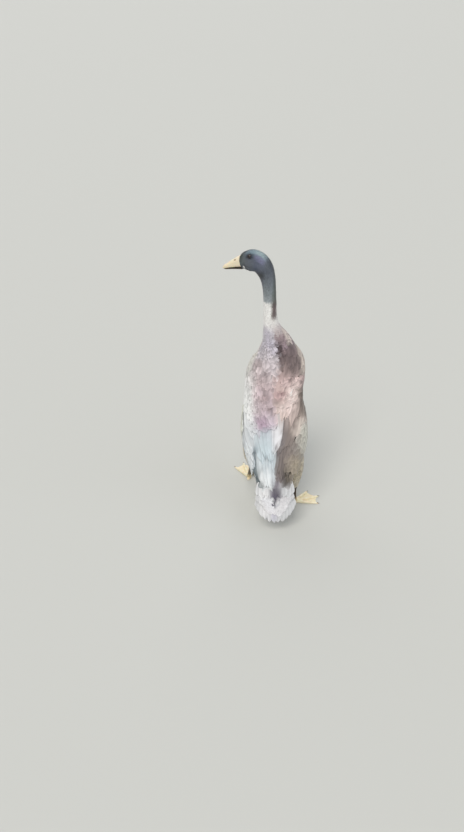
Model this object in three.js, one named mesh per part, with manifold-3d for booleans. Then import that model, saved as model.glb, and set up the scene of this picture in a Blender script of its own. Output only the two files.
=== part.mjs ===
// A runner duck drake, life size, standing upright with its head turned over its left shoulder side.
// Units are millimetres. +Z is up and the duck faces -Y, so its left side is +X and its back is +Y.
// It is built from a point on the ground between the feet, and moved at the end so that the origin is
// the middle of its footprint.
import * as THREE from "three";
import { mergeVertices } from "three/addons/utils/BufferGeometryUtils.js";
import Module from "manifold-3d";

const wasm = await Module();
wasm.setup();

const rad = THREE.MathUtils.degToRad;
const mix = THREE.MathUtils.lerp;
const smooth = THREE.MathUtils.smoothstep;

// Driving dimensions
const CARRIAGE = rad(62); // slope of the back above the ground
const TAIL_TIP = { y: 188, z: 35 }; // end of the back line, behind and above the ground
const GAP = 0.3; // between pieces that touch
const HEAD_TURN = rad(57); // from straight ahead, to the left
const BILL_NOD = rad(12); // below level
const RUMP_END = 93; // distance along the back from the tail tip to where the torso starts
const NECK_START = 432;
const NECK_MIDDLE = 490;
const NECK_TOP = 570;

const BACK = new THREE.Vector3(0, Math.sin(CARRIAGE), Math.cos(CARRIAGE)); // out of the back
const UP_BACK = new THREE.Vector3(0, -Math.cos(CARRIAGE), Math.sin(CARRIAGE)); // from tail to neck

// Point on the straight back line, a distance s from the tail tip, dropped by depth into the body.
function backLine(s, depth) {
  return new THREE.Vector3(0, TAIL_TIP.y, TAIL_TIP.z)
    .addScaledVector(UP_BACK, s)
    .addScaledVector(BACK, -depth);
}

// Body stations, each with its distance s along the body, half width, depths of the widest level and of
// the belly under the back line, how far aside its middle is, and how far the top is under the line.
const TRUNK = [
  [20, 18, 9.5, 12, 0, 7],
  [36, 29, 10.5, 16, 0, 6],
  [60, 39, 13, 26, 0, 5],
  [80, 41, 14, 33, 0, 3],
  [93, 41, 15, 37, 0, 0],
  [112, 46, 21, 51, 0, 0],
  [137, 54.5, 33, 79, -1, 0],
  [166, 65, 46, 106, -2.5, 0],
  [200, 71.5, 56, 126, -3, 0],
  [240, 68.5, 62, 137, -2.5, 0],
  [280, 61, 63, 138, -2, 0],
  [315, 59, 60, 130, -4, 0],
  [345, 59, 54, 115, -9, 0],
  [370, 53.5, 46, 97, -15.5, 0],
  [392, 44, 38, 79, -16, 0],
  [412, 33.5, 30, 62, -13, 0],
];
// From the neck on: s, half width, half depths towards the back and towards the belly, centre point, and
// turn of the section in degrees.
const NECK = [
  [435, 23, 23.5, 25, -6, -32.5, 408, 0],
  [459, 16.4, 18.5, 19.5, -1, -33, 432, 0],
  [487, 14.6, 15.6, 16, 0, -31.5, 460, 0],
  [517, 13.6, 14, 14.4, 1, -29.5, 490, 12],
  [547, 13.8, 14.2, 15.6, 2.5, -29, 520, 30],
  [567, 14.8, 15.6, 18.5, 5, -29.5, 540, 45],
  [586, 16.8, 18.6, 22, 11.3, -30.9, 559.1, 55],
  [603, 18.2, 21, 22.5, 20.6, -36, 570.1, 57],
  [620.3, 18.6, 22.6, 24, 34.1, -42.5, 574.6, 57],
  [637, 16.6, 19.6, 24, 46.2, -49.5, 572.8, 57],
  [646.5, 14.2, 16.2, 19.5, 54.8, -53.9, 568.4, 57],
  [655, 12, 13.4, 14.5, 60, -57, 564.5, 57],
  [665, 9, 9, 10, 68, -62.5, 561, 57],
];
const HEAD_END = 651.5; // the bill's root
const STATIONS = [
  ...TRUNK.map(([s, wide, middle, belly, aside, top]) => {
    const centre = backLine(s, middle);
    return [s, wide, middle - top, belly - middle, aside, centre.y, centre.z, 0];
  }),
  ...NECK,
];

// Smooth values between stations: a cubic through them with slopes from their neighbours.
function stationAt(s) {
  const last = STATIONS.length - 1;
  let i = 0;
  while (i < last - 1 && s > STATIONS[i + 1][0]) i += 1;
  const before = STATIONS[Math.max(i - 1, 0)];
  const from = STATIONS[i];
  const to = STATIONS[i + 1];
  const after = STATIONS[Math.min(i + 2, last)];
  const span = to[0] - from[0];
  const t = (s - from[0]) / span;
  const values = from.slice(1).map((value, k) => {
    const next = to[k + 1];
    const slopeFrom = ((next - before[k + 1]) / (to[0] - before[0])) * span;
    const slopeTo = ((after[k + 1] - value) / (after[0] - from[0])) * span;
    return (
      (2 * t ** 3 - 3 * t ** 2 + 1) * value +
      (t ** 3 - 2 * t ** 2 + t) * slopeFrom +
      (3 * t ** 2 - 2 * t ** 3) * next +
      (t ** 3 - t ** 2) * slopeTo
    );
  });
  const [wide, back, belly, x, y, z, turn] = values;
  return { wide, back, belly, turn: rad(turn), centre: new THREE.Vector3(x, y, z) };
}

// Distance from a section's centre to its edge, at an angle from the middle of the back.
const SQUARENESS = 2.25; // above 2, a section is a little squarer than an ellipse
function reach({ wide, back, belly }, around) {
  const across = Math.abs(Math.sin(around)) / wide;
  const deep = Math.abs(Math.cos(around)) / (Math.cos(around) > 0 ? back : belly);
  return (across ** SQUARENESS + deep ** SQUARENESS) ** (-1 / SQUARENESS);
}

// A point on the body's surface. s runs from the tail to the head, and around is the angle from the
// middle of the back, positive to the duck's left.
const STEP = 0.5;
function onSurface(s, around) {
  const here = stationAt(s);
  const along = stationAt(s + STEP)
    .centre.sub(stationAt(s - STEP).centre)
    .normalize();
  const left = new THREE.Vector3(Math.cos(here.turn), Math.sin(here.turn), 0);
  const side = left.addScaledVector(along, -left.dot(along)).normalize();
  const out = new THREE.Vector3().crossVectors(along, side);
  const radius = reach(here, around);
  return here.centre
    .addScaledVector(side, radius * Math.sin(around))
    .addScaledVector(out, radius * Math.cos(around));
}

// The same point, moved out of the surface by a height.
const TURN = 0.02;
function onBody(s, around, height = 0) {
  const point = onSurface(s, around);
  if (height === 0) return point;
  const alongBody = onSurface(s + STEP, around).sub(onSurface(s - STEP, around));
  const aroundBody = onSurface(s, around + TURN).sub(onSurface(s, around - TURN));
  const normal = alongBody.cross(aroundBody).normalize();
  return point.addScaledVector(normal, height);
}

// Solids and booleans
function geometryOf(points, triangles) {
  return new THREE.BufferGeometry()
    .setAttribute(
      "position",
      new THREE.Float32BufferAttribute(points.flatMap((p) => p.toArray()), 3),
    )
    .setIndex(triangles);
}

function solid(geometry) {
  const bare = geometry.clone();
  bare.deleteAttribute("normal");
  bare.deleteAttribute("uv");
  const merged = mergeVertices(bare, 1e-4);
  return new wasm.Manifold(
    new wasm.Mesh({
      numProp: 3,
      vertProperties: merged.attributes.position.array,
      triVerts: new Uint32Array(merged.index.array),
    }),
  );
}

// A solid from points and triangles that all turn one way, with its faces turned outwards.
function outward(points, triangles) {
  const made = solid(geometryOf(points, triangles));
  return made.volume() > 0 ? made : solid(geometryOf(points, triangles.toReversed()));
}

function joined(pieces) {
  return pieces.reduce((whole, piece) => whole.add(piece));
}

function geometryFrom(made) {
  const mesh = made.getMesh();
  const points = [];
  for (let i = 0; i < mesh.numVert; i += 1) {
    points.push(new THREE.Vector3().fromArray(mesh.vertProperties, i * mesh.numProp));
  }
  return geometryOf(points, Array.from(mesh.triVerts));
}

// The one largest closed surface of a solid, without the slivers, scraps and sealed pockets that joins
// and cuts leave.
const SLIVER = 0.01;
function largest(made) {
  const surfaces = solid(geometryFrom(made.simplify(SLIVER))).decompose();
  return surfaces.reduce((best, one) => (one.volume() > best.volume() ? one : best));
}

// A closed skin through rings of points, all with the same count, with a fan at each end.
function loft(rings) {
  const count = rings[0].length;
  const points = rings.flat();
  const triangles = [];
  for (let i = 0; i < rings.length - 1; i += 1) {
    for (let j = 0; j < count; j += 1) {
      const a = i * count + j;
      const b = i * count + ((j + 1) % count);
      triangles.push(a, b, b + count, a, b + count, a + count);
    }
  }
  const middle = (ring) =>
    ring.reduce((sum, p) => sum.add(p), new THREE.Vector3()).divideScalar(count);
  const first = points.push(middle(rings[0])) - 1;
  const last = points.push(middle(rings.at(-1))) - 1;
  const start = (rings.length - 1) * count;
  for (let j = 0; j < count; j += 1) {
    const next = (j + 1) % count;
    triangles.push(first, next, j, last, start + j, start + next);
  }
  return outward(points, triangles);
}

// A ring of the body at s, with each point moved out by grow.
const BODY_SIDES = 28;
function bodyRing(s, grow, sides) {
  return Array.from({ length: sides }, (_, j) => onBody(s, -(j / sides) * 2 * Math.PI, grow));
}

// A length of the body, with rings at its ends and at each whole multiple of a spacing between them,
// so that lengths which overlap have the same facets.
const RING_SPACING = 16;
function bodyLength(from, to, { grow = 0, sides = BODY_SIDES, spacing = RING_SPACING } = {}) {
  const stops = [from];
  const clear = spacing / 4;
  for (let s = Math.ceil((from + clear) / spacing) * spacing; s < to - clear; s += spacing) {
    stops.push(s);
  }
  stops.push(to);
  return loft(stops.map((s) => bodyRing(s, grow, sides)));
}

// A thin slab between two faces of columns by rows cells, split into the same triangles. pointAt(i, j,
// face) gives a corner of the under face, 0, or the upper face, 1.
function slab(columns, rows, pointAt) {
  const points = [];
  for (const face of [0, 1]) {
    for (let i = 0; i <= columns; i += 1) {
      for (let j = 0; j <= rows; j += 1) points.push(pointAt(i, j, face));
    }
  }
  const stride = rows + 1;
  const upper = (columns + 1) * stride;
  const triangles = [];
  for (let i = 0; i < columns; i += 1) {
    for (let j = 0; j < rows; j += 1) {
      const a = i * stride + j;
      const b = a + stride;
      triangles.push(a, b, b + 1, a, b + 1, a + 1);
      triangles.push(upper + a, upper + b + 1, upper + b, upper + a, upper + a + 1, upper + b + 1);
    }
  }
  const rim = [];
  for (let i = 0; i < columns; i += 1) rim.push(i * stride);
  for (let j = 0; j < rows; j += 1) rim.push(columns * stride + j);
  for (let i = columns; i > 0; i -= 1) rim.push(i * stride + rows);
  for (let j = rows; j > 0; j -= 1) rim.push(j);
  rim.forEach((a, k) => {
    const b = rim[(k + 1) % rim.length];
    triangles.push(a, upper + a, upper + b, a, upper + b, b);
  });
  return outward(points, triangles);
}

// Torso and neck
const torsoGrown = bodyLength(RUMP_END - GAP, NECK_START, { grow: GAP + 0.1 });
const torso = bodyLength(RUMP_END, NECK_START - GAP);
const neckLower = bodyLength(NECK_START, NECK_MIDDLE - GAP, { sides: 24 });
const neckUpper = bodyLength(NECK_MIDDLE, NECK_TOP - GAP, { sides: 24 });

// The angle round the body that is a length t along its surface from the middle of the back.
function aroundAt(s, t) {
  const here = stationAt(s);
  let around = t / here.wide;
  for (let k = 0; k < 4; k += 1) around = t / reach(here, around * 0.6);
  return around;
}

// A feather is a thin vane on a surface. s and t place its root, it runs towards the tail, and swing
// turns it outwards. low is the height of its root, and it rises with its length up to a limit. Its
// outer edge is raised so that the next one inwards lies over it: by one step for each pitch.
const LONG_VANE = [
  [0, 0.35],
  [0.25, 0.8],
  [0.52, 1],
  [0.78, 0.95],
  [0.93, 0.64],
  [1, 0.2],
];
const SHORT_VANE = [
  [0, 0.35],
  [0.35, 0.9],
  [0.72, 1],
  [0.93, 0.66],
  [1, 0.2],
];
const VANE_STEP = 1.4; // from one feather of a tier to the next
const VANE_THICK = { root: 0.8, tip: 0.5 };
const SHAFT_RAISE = 0.15;

function vane(surface, { shape, s, t, length, width, swing, low, rise, limit, pitch }) {
  const rows = shape === LONG_VANE ? 2 : 1;
  return slab(shape.length - 1, rows, (i, j, face) => {
    const [u, share] = shape[i];
    const x = (j / rows - 0.5) * width * share;
    const along = length * u;
    const lean = (VANE_STEP * x) / mix(pitch[0], pitch[1], u);
    const thick = mix(VANE_THICK.root, VANE_THICK.tip, u) + (x === 0 ? SHAFT_RAISE : 0);
    return surface(
      s - along * Math.cos(swing) + x * Math.sin(swing),
      t + along * Math.sin(swing) + x * Math.cos(swing),
      low + Math.min(rise * along, limit) + lean + face * thick,
    );
  });
}

// Steady small differences from one feather to the next.
function seeded(seed) {
  let state = seed;
  return (size) => {
    state = (state * 16807) % 2147483647;
    return size * ((state / 2147483647) * 2 - 1);
  };
}

// One row of feathers from the inner one to the outer one. Each pair is a value for the inner and for
// the outer feather. overlap is the share of its width that a feather hides of the next.
function tier(surface, row, vary) {
  const { count, s, t, length, swing, overlap } = row;
  const tips = [0, 1].map((k) => t[k] + length[k] * Math.sin(rad(swing[k])));
  const pitch = [t, tips].map(([inner, outer]) => (outer - inner) / (count - 1));
  return Array.from({ length: count }, (_, k) => {
    const share = k / (count - 1);
    return vane(surface, {
      shape: row.shape,
      s: mix(...s, share) + vary(1),
      t: mix(...t, share),
      length: mix(...length, share ** 1.8) + vary(2),
      width: Math.max(...pitch) / (1 - overlap),
      swing: rad(mix(...swing, share) + vary(0.25)),
      low: row.low,
      rise: row.rise,
      limit: row.limit,
      pitch,
    });
  });
}

// Wings. Each folded wing lies on the side of the back, with five rows of feathers: the flight
// feathers under the long inner feathers, and three rows of coverts over their roots.
const ROOT_LOW = 1.4;
const OVERLAP = 0.36;
const FLIGHT = { shape: LONG_VANE, overlap: OVERLAP };
const COVERTS = { shape: SHORT_VANE, overlap: OVERLAP, low: ROOT_LOW, rise: 0.1, limit: 7.5 };
const wingRows = (flight, inner) => [
  { s: [205, 190], ...flight, ...FLIGHT, low: 2.8, rise: 0, limit: 0 },
  { count: 6, s: [262, 244], length: [124, 84], ...inner, ...FLIGHT, low: ROOT_LOW, rise: 0.085,
    limit: 4.5 },
  { count: 7, s: [294, 280], t: [11, 92], length: [80, 58], swing: [-1, -14], ...COVERTS },
  { count: 7, s: [327, 312], t: [16, 90], length: [66, 52], swing: [-3, -8], ...COVERTS },
  { count: 6, s: [354, 340], t: [27, 82], length: [60, 50], swing: [-6, 0], ...COVERTS },
];
// The left wing hangs a little lower and covers the flank. The right one is drawn in over the rump.
const WINGS = {
  left: {
    side: 1,
    lift: -8,
    seed: 3,
    rows: wingRows(
      { count: 5, t: [9, 62], length: [118, 88], swing: [-1, -15] },
      { t: [12, 92], swing: [-1, -21] },
    ),
  },
  right: {
    side: -1,
    lift: 14,
    seed: 67,
    rows: wingRows(
      { count: 6, t: [10, 46], length: [142, 108], swing: [-1, -8] },
      { t: [12, 74], swing: [-1, -17] },
    ),
  },
};
const WING_BASE = { from: 184, to: 372, height: 3.2 };
const WING_TIP = 70;
const WING_COVER = 10.5; // height of the whole wing over the body

// Lengths along the surface from the middle of the back to the wing's inner and outer edge.
function wingEdges(s) {
  const inner = 4 + 24 * smooth(s, 300, 376);
  const outer = mix(24, 96, smooth(s, WING_TIP - 40, 250)) - 34 * smooth(s, 312, 384);
  return [inner, outer];
}

function wingSlab({ side, lift }, { from, to, inset, under, over }) {
  const columns = 10;
  const rows = 6;
  return slab(columns, rows, (i, j, face) => {
    const s = mix(from, to, i / columns);
    const [inner, outer] = wingEdges(s);
    const t = mix(inner + inset, outer - inset, j / rows);
    const edge = Math.sin(Math.PI * mix(0.12, 0.88, j / rows)) * smooth(to - s, -6, 30);
    const height = face === 0 ? under : over * Math.min(1, 0.35 + edge);
    return onBody(s + lift, side * aroundAt(s + lift, t), height);
  });
}

function wing(one) {
  const { side, lift, seed, rows } = one;
  const surface = (s, t, height) => onBody(s + lift, side * aroundAt(s + lift, t), height);
  const vary = seeded(seed);
  const { from, to, height } = WING_BASE;
  const base = wingSlab(one, { from, to, inset: 4, under: -1, over: height });
  const feathers = rows.flatMap((row) => tier(surface, row, vary));
  const whole = joined([base, ...feathers]).subtract(torsoGrown);
  return largest(whole.trimByPlane([side, 0, 0], GAP / 2));
}

// Tail. A core of flesh and down carries a fan of feathers, with a row of coverts over it. Both lie on
// a sheet that runs along the back line and droops to its sides.
const FAN_ARCH = 0.0035;
function onTailSheet(s, t, height) {
  return backLine(s, FAN_ARCH * t * t - height).setX(t);
}
const TAIL_ROWS = [
  { shape: LONG_VANE, count: 7, s: [76, 73], t: [2.5, 27], length: [75, 39], swing: [1, 24],
    overlap: 0.42, low: -8.6, rise: 0, limit: 0 },
  { shape: SHORT_VANE, count: 5, s: [86, 84], t: [3.5, 27], length: [54, 36], swing: [0, 14],
    overlap: OVERLAP, low: -5, rise: 0.012, limit: 1 },
];

function tail(seed) {
  const core = bodyLength(36, RUMP_END - GAP, { sides: 20 });
  const feathers = [1, -1].flatMap((side) => {
    const vary = seeded(seed + side);
    const surface = (s, t, height) => onTailSheet(s, side * t, height);
    return TAIL_ROWS.flatMap((row) => tier(surface, row, vary));
  });
  return largest(joined([core, ...feathers]).subtract(torsoGrown));
}

// Legs: the ground point under each toe joint, the hock, where the thigh meets the body, and the turn
// of the middle toe from straight ahead, outwards.
const FOOT_TOP = 11;
const HOCK = 64;
const LEGS = {
  left: { side: 1, joint: [54, -29], hock: [49, -8], hip: [37, 22, 160], turn: rad(12) },
  right: { side: -1, joint: [-52, 72], hock: [-50, 81], hip: [-43, 56, 160], turn: rad(74) },
};
const TOES = [
  { name: "middle", length: 62, spread: 0 },
  { name: "outer", length: 57, spread: rad(26) },
  { name: "inner", length: 50, spread: rad(-31) },
];

// A ring of an upright ellipse round a centre: half sizes across and fore and aft.
function levelRing([x, y, z], across, deep, sides) {
  return Array.from({ length: sides }, (_, j) => {
    const angle = (j / sides) * 2 * Math.PI;
    return new THREE.Vector3(x + across * Math.cos(angle), y + deep * Math.sin(angle), z);
  });
}

// A toe lies along +X from the joint, round above and cut flat by the ground.
const TOE_SIDES = 8;
function toe(length) {
  const sizes = [
    [-5, 3.5, 3.6],
    [0, 4.6, 5],
    [length * 0.3, 3.7, 3.6],
    [length * 0.55, 3.3, 3.1],
    [length * 0.8, 2.8, 2.7],
    [length * 0.95, 2, 2],
    [length + 5, 0.5, 0.6],
  ];
  return loft(
    sizes.map(([x, wide, high]) =>
      Array.from({ length: TOE_SIDES }, (_, j) => {
        const angle = ((j + 0.5) / TOE_SIDES) * 2 * Math.PI;
        return new THREE.Vector3(x, wide * Math.cos(angle), high * 0.75 + high * Math.sin(angle));
      }),
    ),
  );
}

// The web is a thin sheet between the toes, with a hollow edge from each tip to the next.
const WEB_THICK = 1.6;
function web(side) {
  const tip = ({ length, spread }) => {
    const reach = length * 0.93;
    return new THREE.Vector2(reach * Math.cos(spread), side * reach * Math.sin(spread));
  };
  const [middle, outer, inner] = TOES.map(tip);
  const hollow = (a, b) => a.clone().add(b).multiplyScalar(0.5 * 0.9);
  const shape = new THREE.Shape();
  shape.moveTo(-6, 0);
  shape.lineTo(0, side * 4);
  shape.lineTo(outer.x, outer.y);
  const first = hollow(outer, middle);
  shape.quadraticCurveTo(first.x, first.y, middle.x, middle.y);
  const second = hollow(middle, inner);
  shape.quadraticCurveTo(second.x, second.y, inner.x, inner.y);
  shape.lineTo(0, side * -4);
  return solid(
    new THREE.ExtrudeGeometry(shape, { depth: WEB_THICK, bevelEnabled: false, curveSegments: 4 }),
  );
}

// Foot, shank and thigh are made as one leg and parted by level cuts.
function leg({ side, joint, hock, hip, turn }) {
  const heading = -Math.PI / 2 + side * turn;
  const toFoot = new THREE.Matrix4()
    .makeTranslation(joint[0], joint[1], 0)
    .multiply(new THREE.Matrix4().makeRotationZ(heading));
  const toes = TOES.map(({ length, spread }) => turned(toe(length), side * spread));
  const hind = turned(toe(9), Math.PI - side * 0.5);
  const foot = joined([web(side), ...toes, hind]).transform(toFoot.elements);
  const [jx, jy] = joint;
  const [hx, hy] = hock;
  const at = (t) => [mix(jx, hx, t), mix(jy, hy, t)];
  const shankSizes = [
    [0, -2, 5.5, 6],
    [0, 5, 6.4, 7],
    [0.1, 12, 5, 6.2],
    [0.35, 24, 3.9, 5.2],
    [0.7, 42, 4.1, 5.6],
    [0.9, 53, 5.6, 7.2],
    [1, HOCK, 6.2, 8.2],
    [1, HOCK + 8, 4, 5],
  ];
  const shank = loft(
    shankSizes.map(([t, z, across, deep]) => levelRing([...at(t), z], across, deep, 12)),
  );
  const lower = foot.add(shank).trimByPlane([0, 0, 1], 0);
  const thighSizes = [
    [0, 9.5, 11],
    [0.1, 13.5, 15],
    [0.32, 21, 24],
    [0.6, 26, 33],
    [0.85, 24, 36],
    [1.05, 16, 30],
    [1.15, 8, 18],
  ];
  const thigh = loft(
    thighSizes.map(([t, across, deep]) => {
      const centre = [mix(hx, hip[0], t), mix(hy, hip[1], t), mix(HOCK + GAP, hip[2], t)];
      return levelRing(centre, across, deep, 16);
    }),
  );
  return {
    foot: largest(lower.trimByPlane([0, 0, -1], -FOOT_TOP)),
    shank: largest(
      lower.trimByPlane([0, 0, 1], FOOT_TOP + GAP).trimByPlane([0, 0, -1], -HOCK),
    ),
    thigh,
  };
}

function turned(made, angle) {
  return made.transform(new THREE.Matrix4().makeRotationZ(angle).elements);
}

// The bill has its own frame: +X along it, +Y to its left, +Z up, from the middle of its root.
const billFrame = new THREE.Group();
billFrame.position.copy(stationAt(HEAD_END).centre);
billFrame.rotation.set(0, BILL_NOD, HEAD_TURN - Math.PI / 2, "ZYX");
const billWay = new THREE.Vector3(1, 0, 0).applyEuler(billFrame.rotation);

// Bill stations: distance along, half width, top and bottom.
const UPPER_BILL = [
  [GAP, 12.5, 16.6, -8.9],
  [9.7, 11.7, 13.2, -9.1],
  [18.7, 11, 9.4, -9.4],
  [28.7, 11, 4.8, -9.9],
  [37.7, 11.7, 0.3, -10.4],
  [44.7, 11.4, -3.3, -10.8],
  [49.2, 9, -6, -11.1],
  [51.7, 4, -8.6, -11.3],
];
const LOWER_BILL = [
  [GAP, 10, -9.5, -14.6],
  [11.7, 9.6, -9.7, -14.1],
  [23.7, 9.2, -10.1, -13.8],
  [34.7, 9.6, -10.6, -13.6],
  [43.7, 9.2, -11.1, -13.4],
  [48.7, 5.4, -11.7, -13.1],
];
const SQUARE_UNDERSIDE = 0.55;
const ROUND = 1;

// A ring across the bill: an oval between top and bottom, with an underside as square as asked.
function billRing([x, wide, top, bottom], sides, underside) {
  const middle = (top + bottom) / 2;
  const half = (top - bottom) / 2;
  return Array.from({ length: sides }, (_, j) => {
    const angle = ((j + 0.5) / sides) * 2 * Math.PI;
    const sin = Math.sin(angle);
    const cos = Math.cos(angle);
    const power = sin < 0 ? underside : ROUND;
    return new THREE.Vector3(
      x,
      wide * Math.sign(cos) * Math.abs(cos) ** power,
      middle + half * Math.sign(sin) * Math.abs(sin) ** power,
    );
  });
}

function ball(radius, [x, y, z], [sx, sy, sz] = [1, 1, 1], detail = 10) {
  const sphere = new THREE.SphereGeometry(radius, detail * 2, detail);
  sphere.scale(sx, sy, sz);
  sphere.translate(x, y, z);
  return solid(sphere);
}

const EYE = { s: 624, around: rad(49), radius: 5.2, sunk: 3.3, detail: 7 };
const LID = { radius: 4.7, tube: 1.2, sunk: 0.1 };
const eyeAt = (side) => onBody(EYE.s, side * EYE.around, -EYE.sunk);

function lid(side) {
  const ring = new THREE.TorusGeometry(LID.radius, LID.tube, 6, 16);
  const centre = onBody(EYE.s, side * EYE.around, -LID.sunk);
  const facing = centre.clone().sub(eyeAt(side)).normalize();
  const turn = new THREE.Quaternion().setFromUnitVectors(new THREE.Vector3(0, 0, 1), facing);
  ring.applyQuaternion(turn);
  ring.translate(...centre);
  return solid(ring);
}

// The corners of the mouth run back from the bill as a thin groove on each side.
function mouthCorner(side) {
  const at = onBody(HEAD_END - 2, side * rad(118));
  const groove = new THREE.SphereGeometry(1, 12, 6);
  groove.scale(9, 2, 0.7);
  groove.rotateZ(HEAD_TURN - Math.PI / 2 + side * rad(18));
  groove.translate(...at);
  return solid(groove);
}

function head() {
  const skull = bodyLength(NECK_TOP, HEAD_END + 9, { sides: 24, spacing: 8 });
  const sides = [1, -1];
  const sockets = sides.map((side) =>
    ball(EYE.radius + GAP, eyeAt(side).toArray(), [1, 1, 1], EYE.detail),
  );
  const cuts = [...sockets, ...sides.map(mouthCorner)];
  const whole = joined([skull, ...sides.map(lid)]).subtract(joined(cuts));
  const billRoot = -billWay.dot(billFrame.position);
  return largest(whole.trimByPlane(billWay.clone().negate().toArray(), billRoot));
}

function upperBill() {
  const horn = loft(UPPER_BILL.map((station) => billRing(station, 18, SQUARE_UNDERSIDE)));
  const nail = ball(1, [48.9, 0, -7.1], [4, 3.8, 1.7], 6);
  const nostrils = [1, -1].map((side) => ball(1, [13.5, side * 8.2, 7.9], [3.4, 2, 1.5], 6));
  return largest(horn.add(nail).subtract(joined(nostrils)).trimByPlane([1, 0, 0], GAP));
}

function lowerBill() {
  const clear = UPPER_BILL.map(([x, wide, top, bottom], i) => [
    i === 0 ? x - GAP : x,
    wide + GAP,
    top + GAP,
    bottom - GAP,
  ]);
  const upper = loft(clear.map((station) => billRing(station, 18, SQUARE_UNDERSIDE)));
  return largest(loft(LOWER_BILL.map((station) => billRing(station, 14, ROUND))).subtract(upper));
}

// Finishes
const finish = (color, roughness) =>
  new THREE.MeshStandardMaterial({ color, roughness, metalness: 0 });
const MAUVE_FEATHER = finish(0xb3a39d, 0.85);
const PALE_FEATHER = finish(0xd6d5d8, 0.85);
const WHITE_FEATHER = finish(0xe9e9e6, 0.85);
const SLATE_FEATHER = finish(0x5f6474, 0.7);
const HORN = finish(0xdcc7a2, 0.45);
const HORN_DARK = finish(0x4a4036, 0.5);
const SKIN = finish(0xe2b98d, 0.6);
const EYE_DARK = finish(0x1c1512, 0.1);

const duck = new THREE.Group();
function add(name, made, material, parent = duck) {
  const mesh = new THREE.Mesh(geometryFrom(made), material);
  mesh.name = name;
  parent.add(mesh);
}

const legLeft = leg(LEGS.left);
const legRight = leg(LEGS.right);

// The thighs are cut clear of the torso and of the wing over them.
function clearOf(made, over) {
  const cover = { from: WING_TIP, to: WING_BASE.to, inset: -3, under: -1, over: WING_COVER };
  return largest(made.subtract(torsoGrown).subtract(wingSlab(over, cover)));
}

add("torso", torso, MAUVE_FEATHER);
add("neck_lower", neckLower, PALE_FEATHER);
add("neck_upper", neckUpper, SLATE_FEATHER);
add("wing_left", wing(WINGS.left), PALE_FEATHER);
add("wing_right", wing(WINGS.right), MAUVE_FEATHER);
add("tail", tail(37), WHITE_FEATHER);
add("thigh_left", clearOf(legLeft.thigh, WINGS.left), PALE_FEATHER);
add("thigh_right", clearOf(legRight.thigh, WINGS.right), PALE_FEATHER);
add("shank_left", legLeft.shank, SKIN);
add("shank_right", legRight.shank, SKIN);
add("foot_left", legLeft.foot, SKIN);
add("foot_right", legRight.foot, SKIN);

add("head", head(), SLATE_FEATHER);
for (const [name, side] of [["eye_left", 1], ["eye_right", -1]]) {
  add(name, ball(EYE.radius, eyeAt(side).toArray(), [1, 1, 1], EYE.detail), EYE_DARK);
}
duck.add(billFrame);
add("bill_upper", upperBill(), HORN, billFrame);
add("bill_lower", lowerBill(), HORN_DARK, billFrame);

// The origin goes to the middle of the footprint, on the ground.
const root = new THREE.Group();
root.add(duck);
const box = new THREE.Box3().setFromObject(root, true);
duck.position.set(-(box.min.x + box.max.x) / 2, -(box.min.y + box.max.y) / 2, -box.min.z);

export default root;
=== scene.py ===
"""A runner duck drake, life size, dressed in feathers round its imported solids.

Lengths inside the classes are millimetres and angles are degrees unless a name says otherwise. The
duck is laid out from a point on the ground between its feet, and Duck.origin moves it onto the frame.
Everywhere s is a length along the body from the tail, around is the angle in radians from the middle
of the back towards the left, and t is a length over the back from its middle.
"""

import logging
from dataclasses import dataclass
from enum import Enum
from typing import Callable

import bpy
import numpy as np
from mathutils import Matrix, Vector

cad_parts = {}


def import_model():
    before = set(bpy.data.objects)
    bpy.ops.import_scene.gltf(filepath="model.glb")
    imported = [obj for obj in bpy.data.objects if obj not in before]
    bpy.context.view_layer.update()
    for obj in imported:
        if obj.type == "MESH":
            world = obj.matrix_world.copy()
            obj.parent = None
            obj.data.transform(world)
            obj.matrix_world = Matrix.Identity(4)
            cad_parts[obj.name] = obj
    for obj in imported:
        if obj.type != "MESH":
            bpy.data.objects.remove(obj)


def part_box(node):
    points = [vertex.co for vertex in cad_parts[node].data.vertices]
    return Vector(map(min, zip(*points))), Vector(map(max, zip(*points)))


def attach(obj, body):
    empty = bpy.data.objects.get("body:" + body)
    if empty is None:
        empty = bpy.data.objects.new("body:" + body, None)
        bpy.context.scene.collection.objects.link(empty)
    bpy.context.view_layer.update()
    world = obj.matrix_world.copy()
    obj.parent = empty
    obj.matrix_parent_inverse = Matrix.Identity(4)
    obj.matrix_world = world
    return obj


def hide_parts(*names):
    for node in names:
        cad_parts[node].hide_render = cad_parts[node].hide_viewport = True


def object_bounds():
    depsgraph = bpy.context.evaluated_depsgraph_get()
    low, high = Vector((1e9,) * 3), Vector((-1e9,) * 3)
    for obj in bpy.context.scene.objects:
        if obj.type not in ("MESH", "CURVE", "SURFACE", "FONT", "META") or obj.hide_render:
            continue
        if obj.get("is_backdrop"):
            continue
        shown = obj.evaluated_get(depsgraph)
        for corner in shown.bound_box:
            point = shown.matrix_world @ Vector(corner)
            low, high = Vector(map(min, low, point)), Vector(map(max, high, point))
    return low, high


Array = np.ndarray
Place = Callable[[Array, Array, Array], Array]
Paint = Callable[[Array, Array], Array]
Stations = tuple[tuple[float, ...], ...]
MM = 0.001
log = logging.getLogger("duck")


# Colours and materials


def linear(colour: str) -> Array:
    """Turns an sRGB hex colour into linear light.

    Args:
        colour: six hex digits, such as "d8d5d2".
    Returns:
        three linear values.
    """
    value = np.array([int(colour[i : i + 2], 16) for i in (0, 2, 4)]) / 255
    return np.where(value <= 0.04045, value / 12.92, ((value + 0.055) / 1.055) ** 2.4)


def mix(first: Array, second: Array, share: Array | float) -> Array:
    """Goes from the first colour towards the second by a share, which may be an array of shares."""
    return first + np.asarray(share)[..., None] * (second - first)


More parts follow.
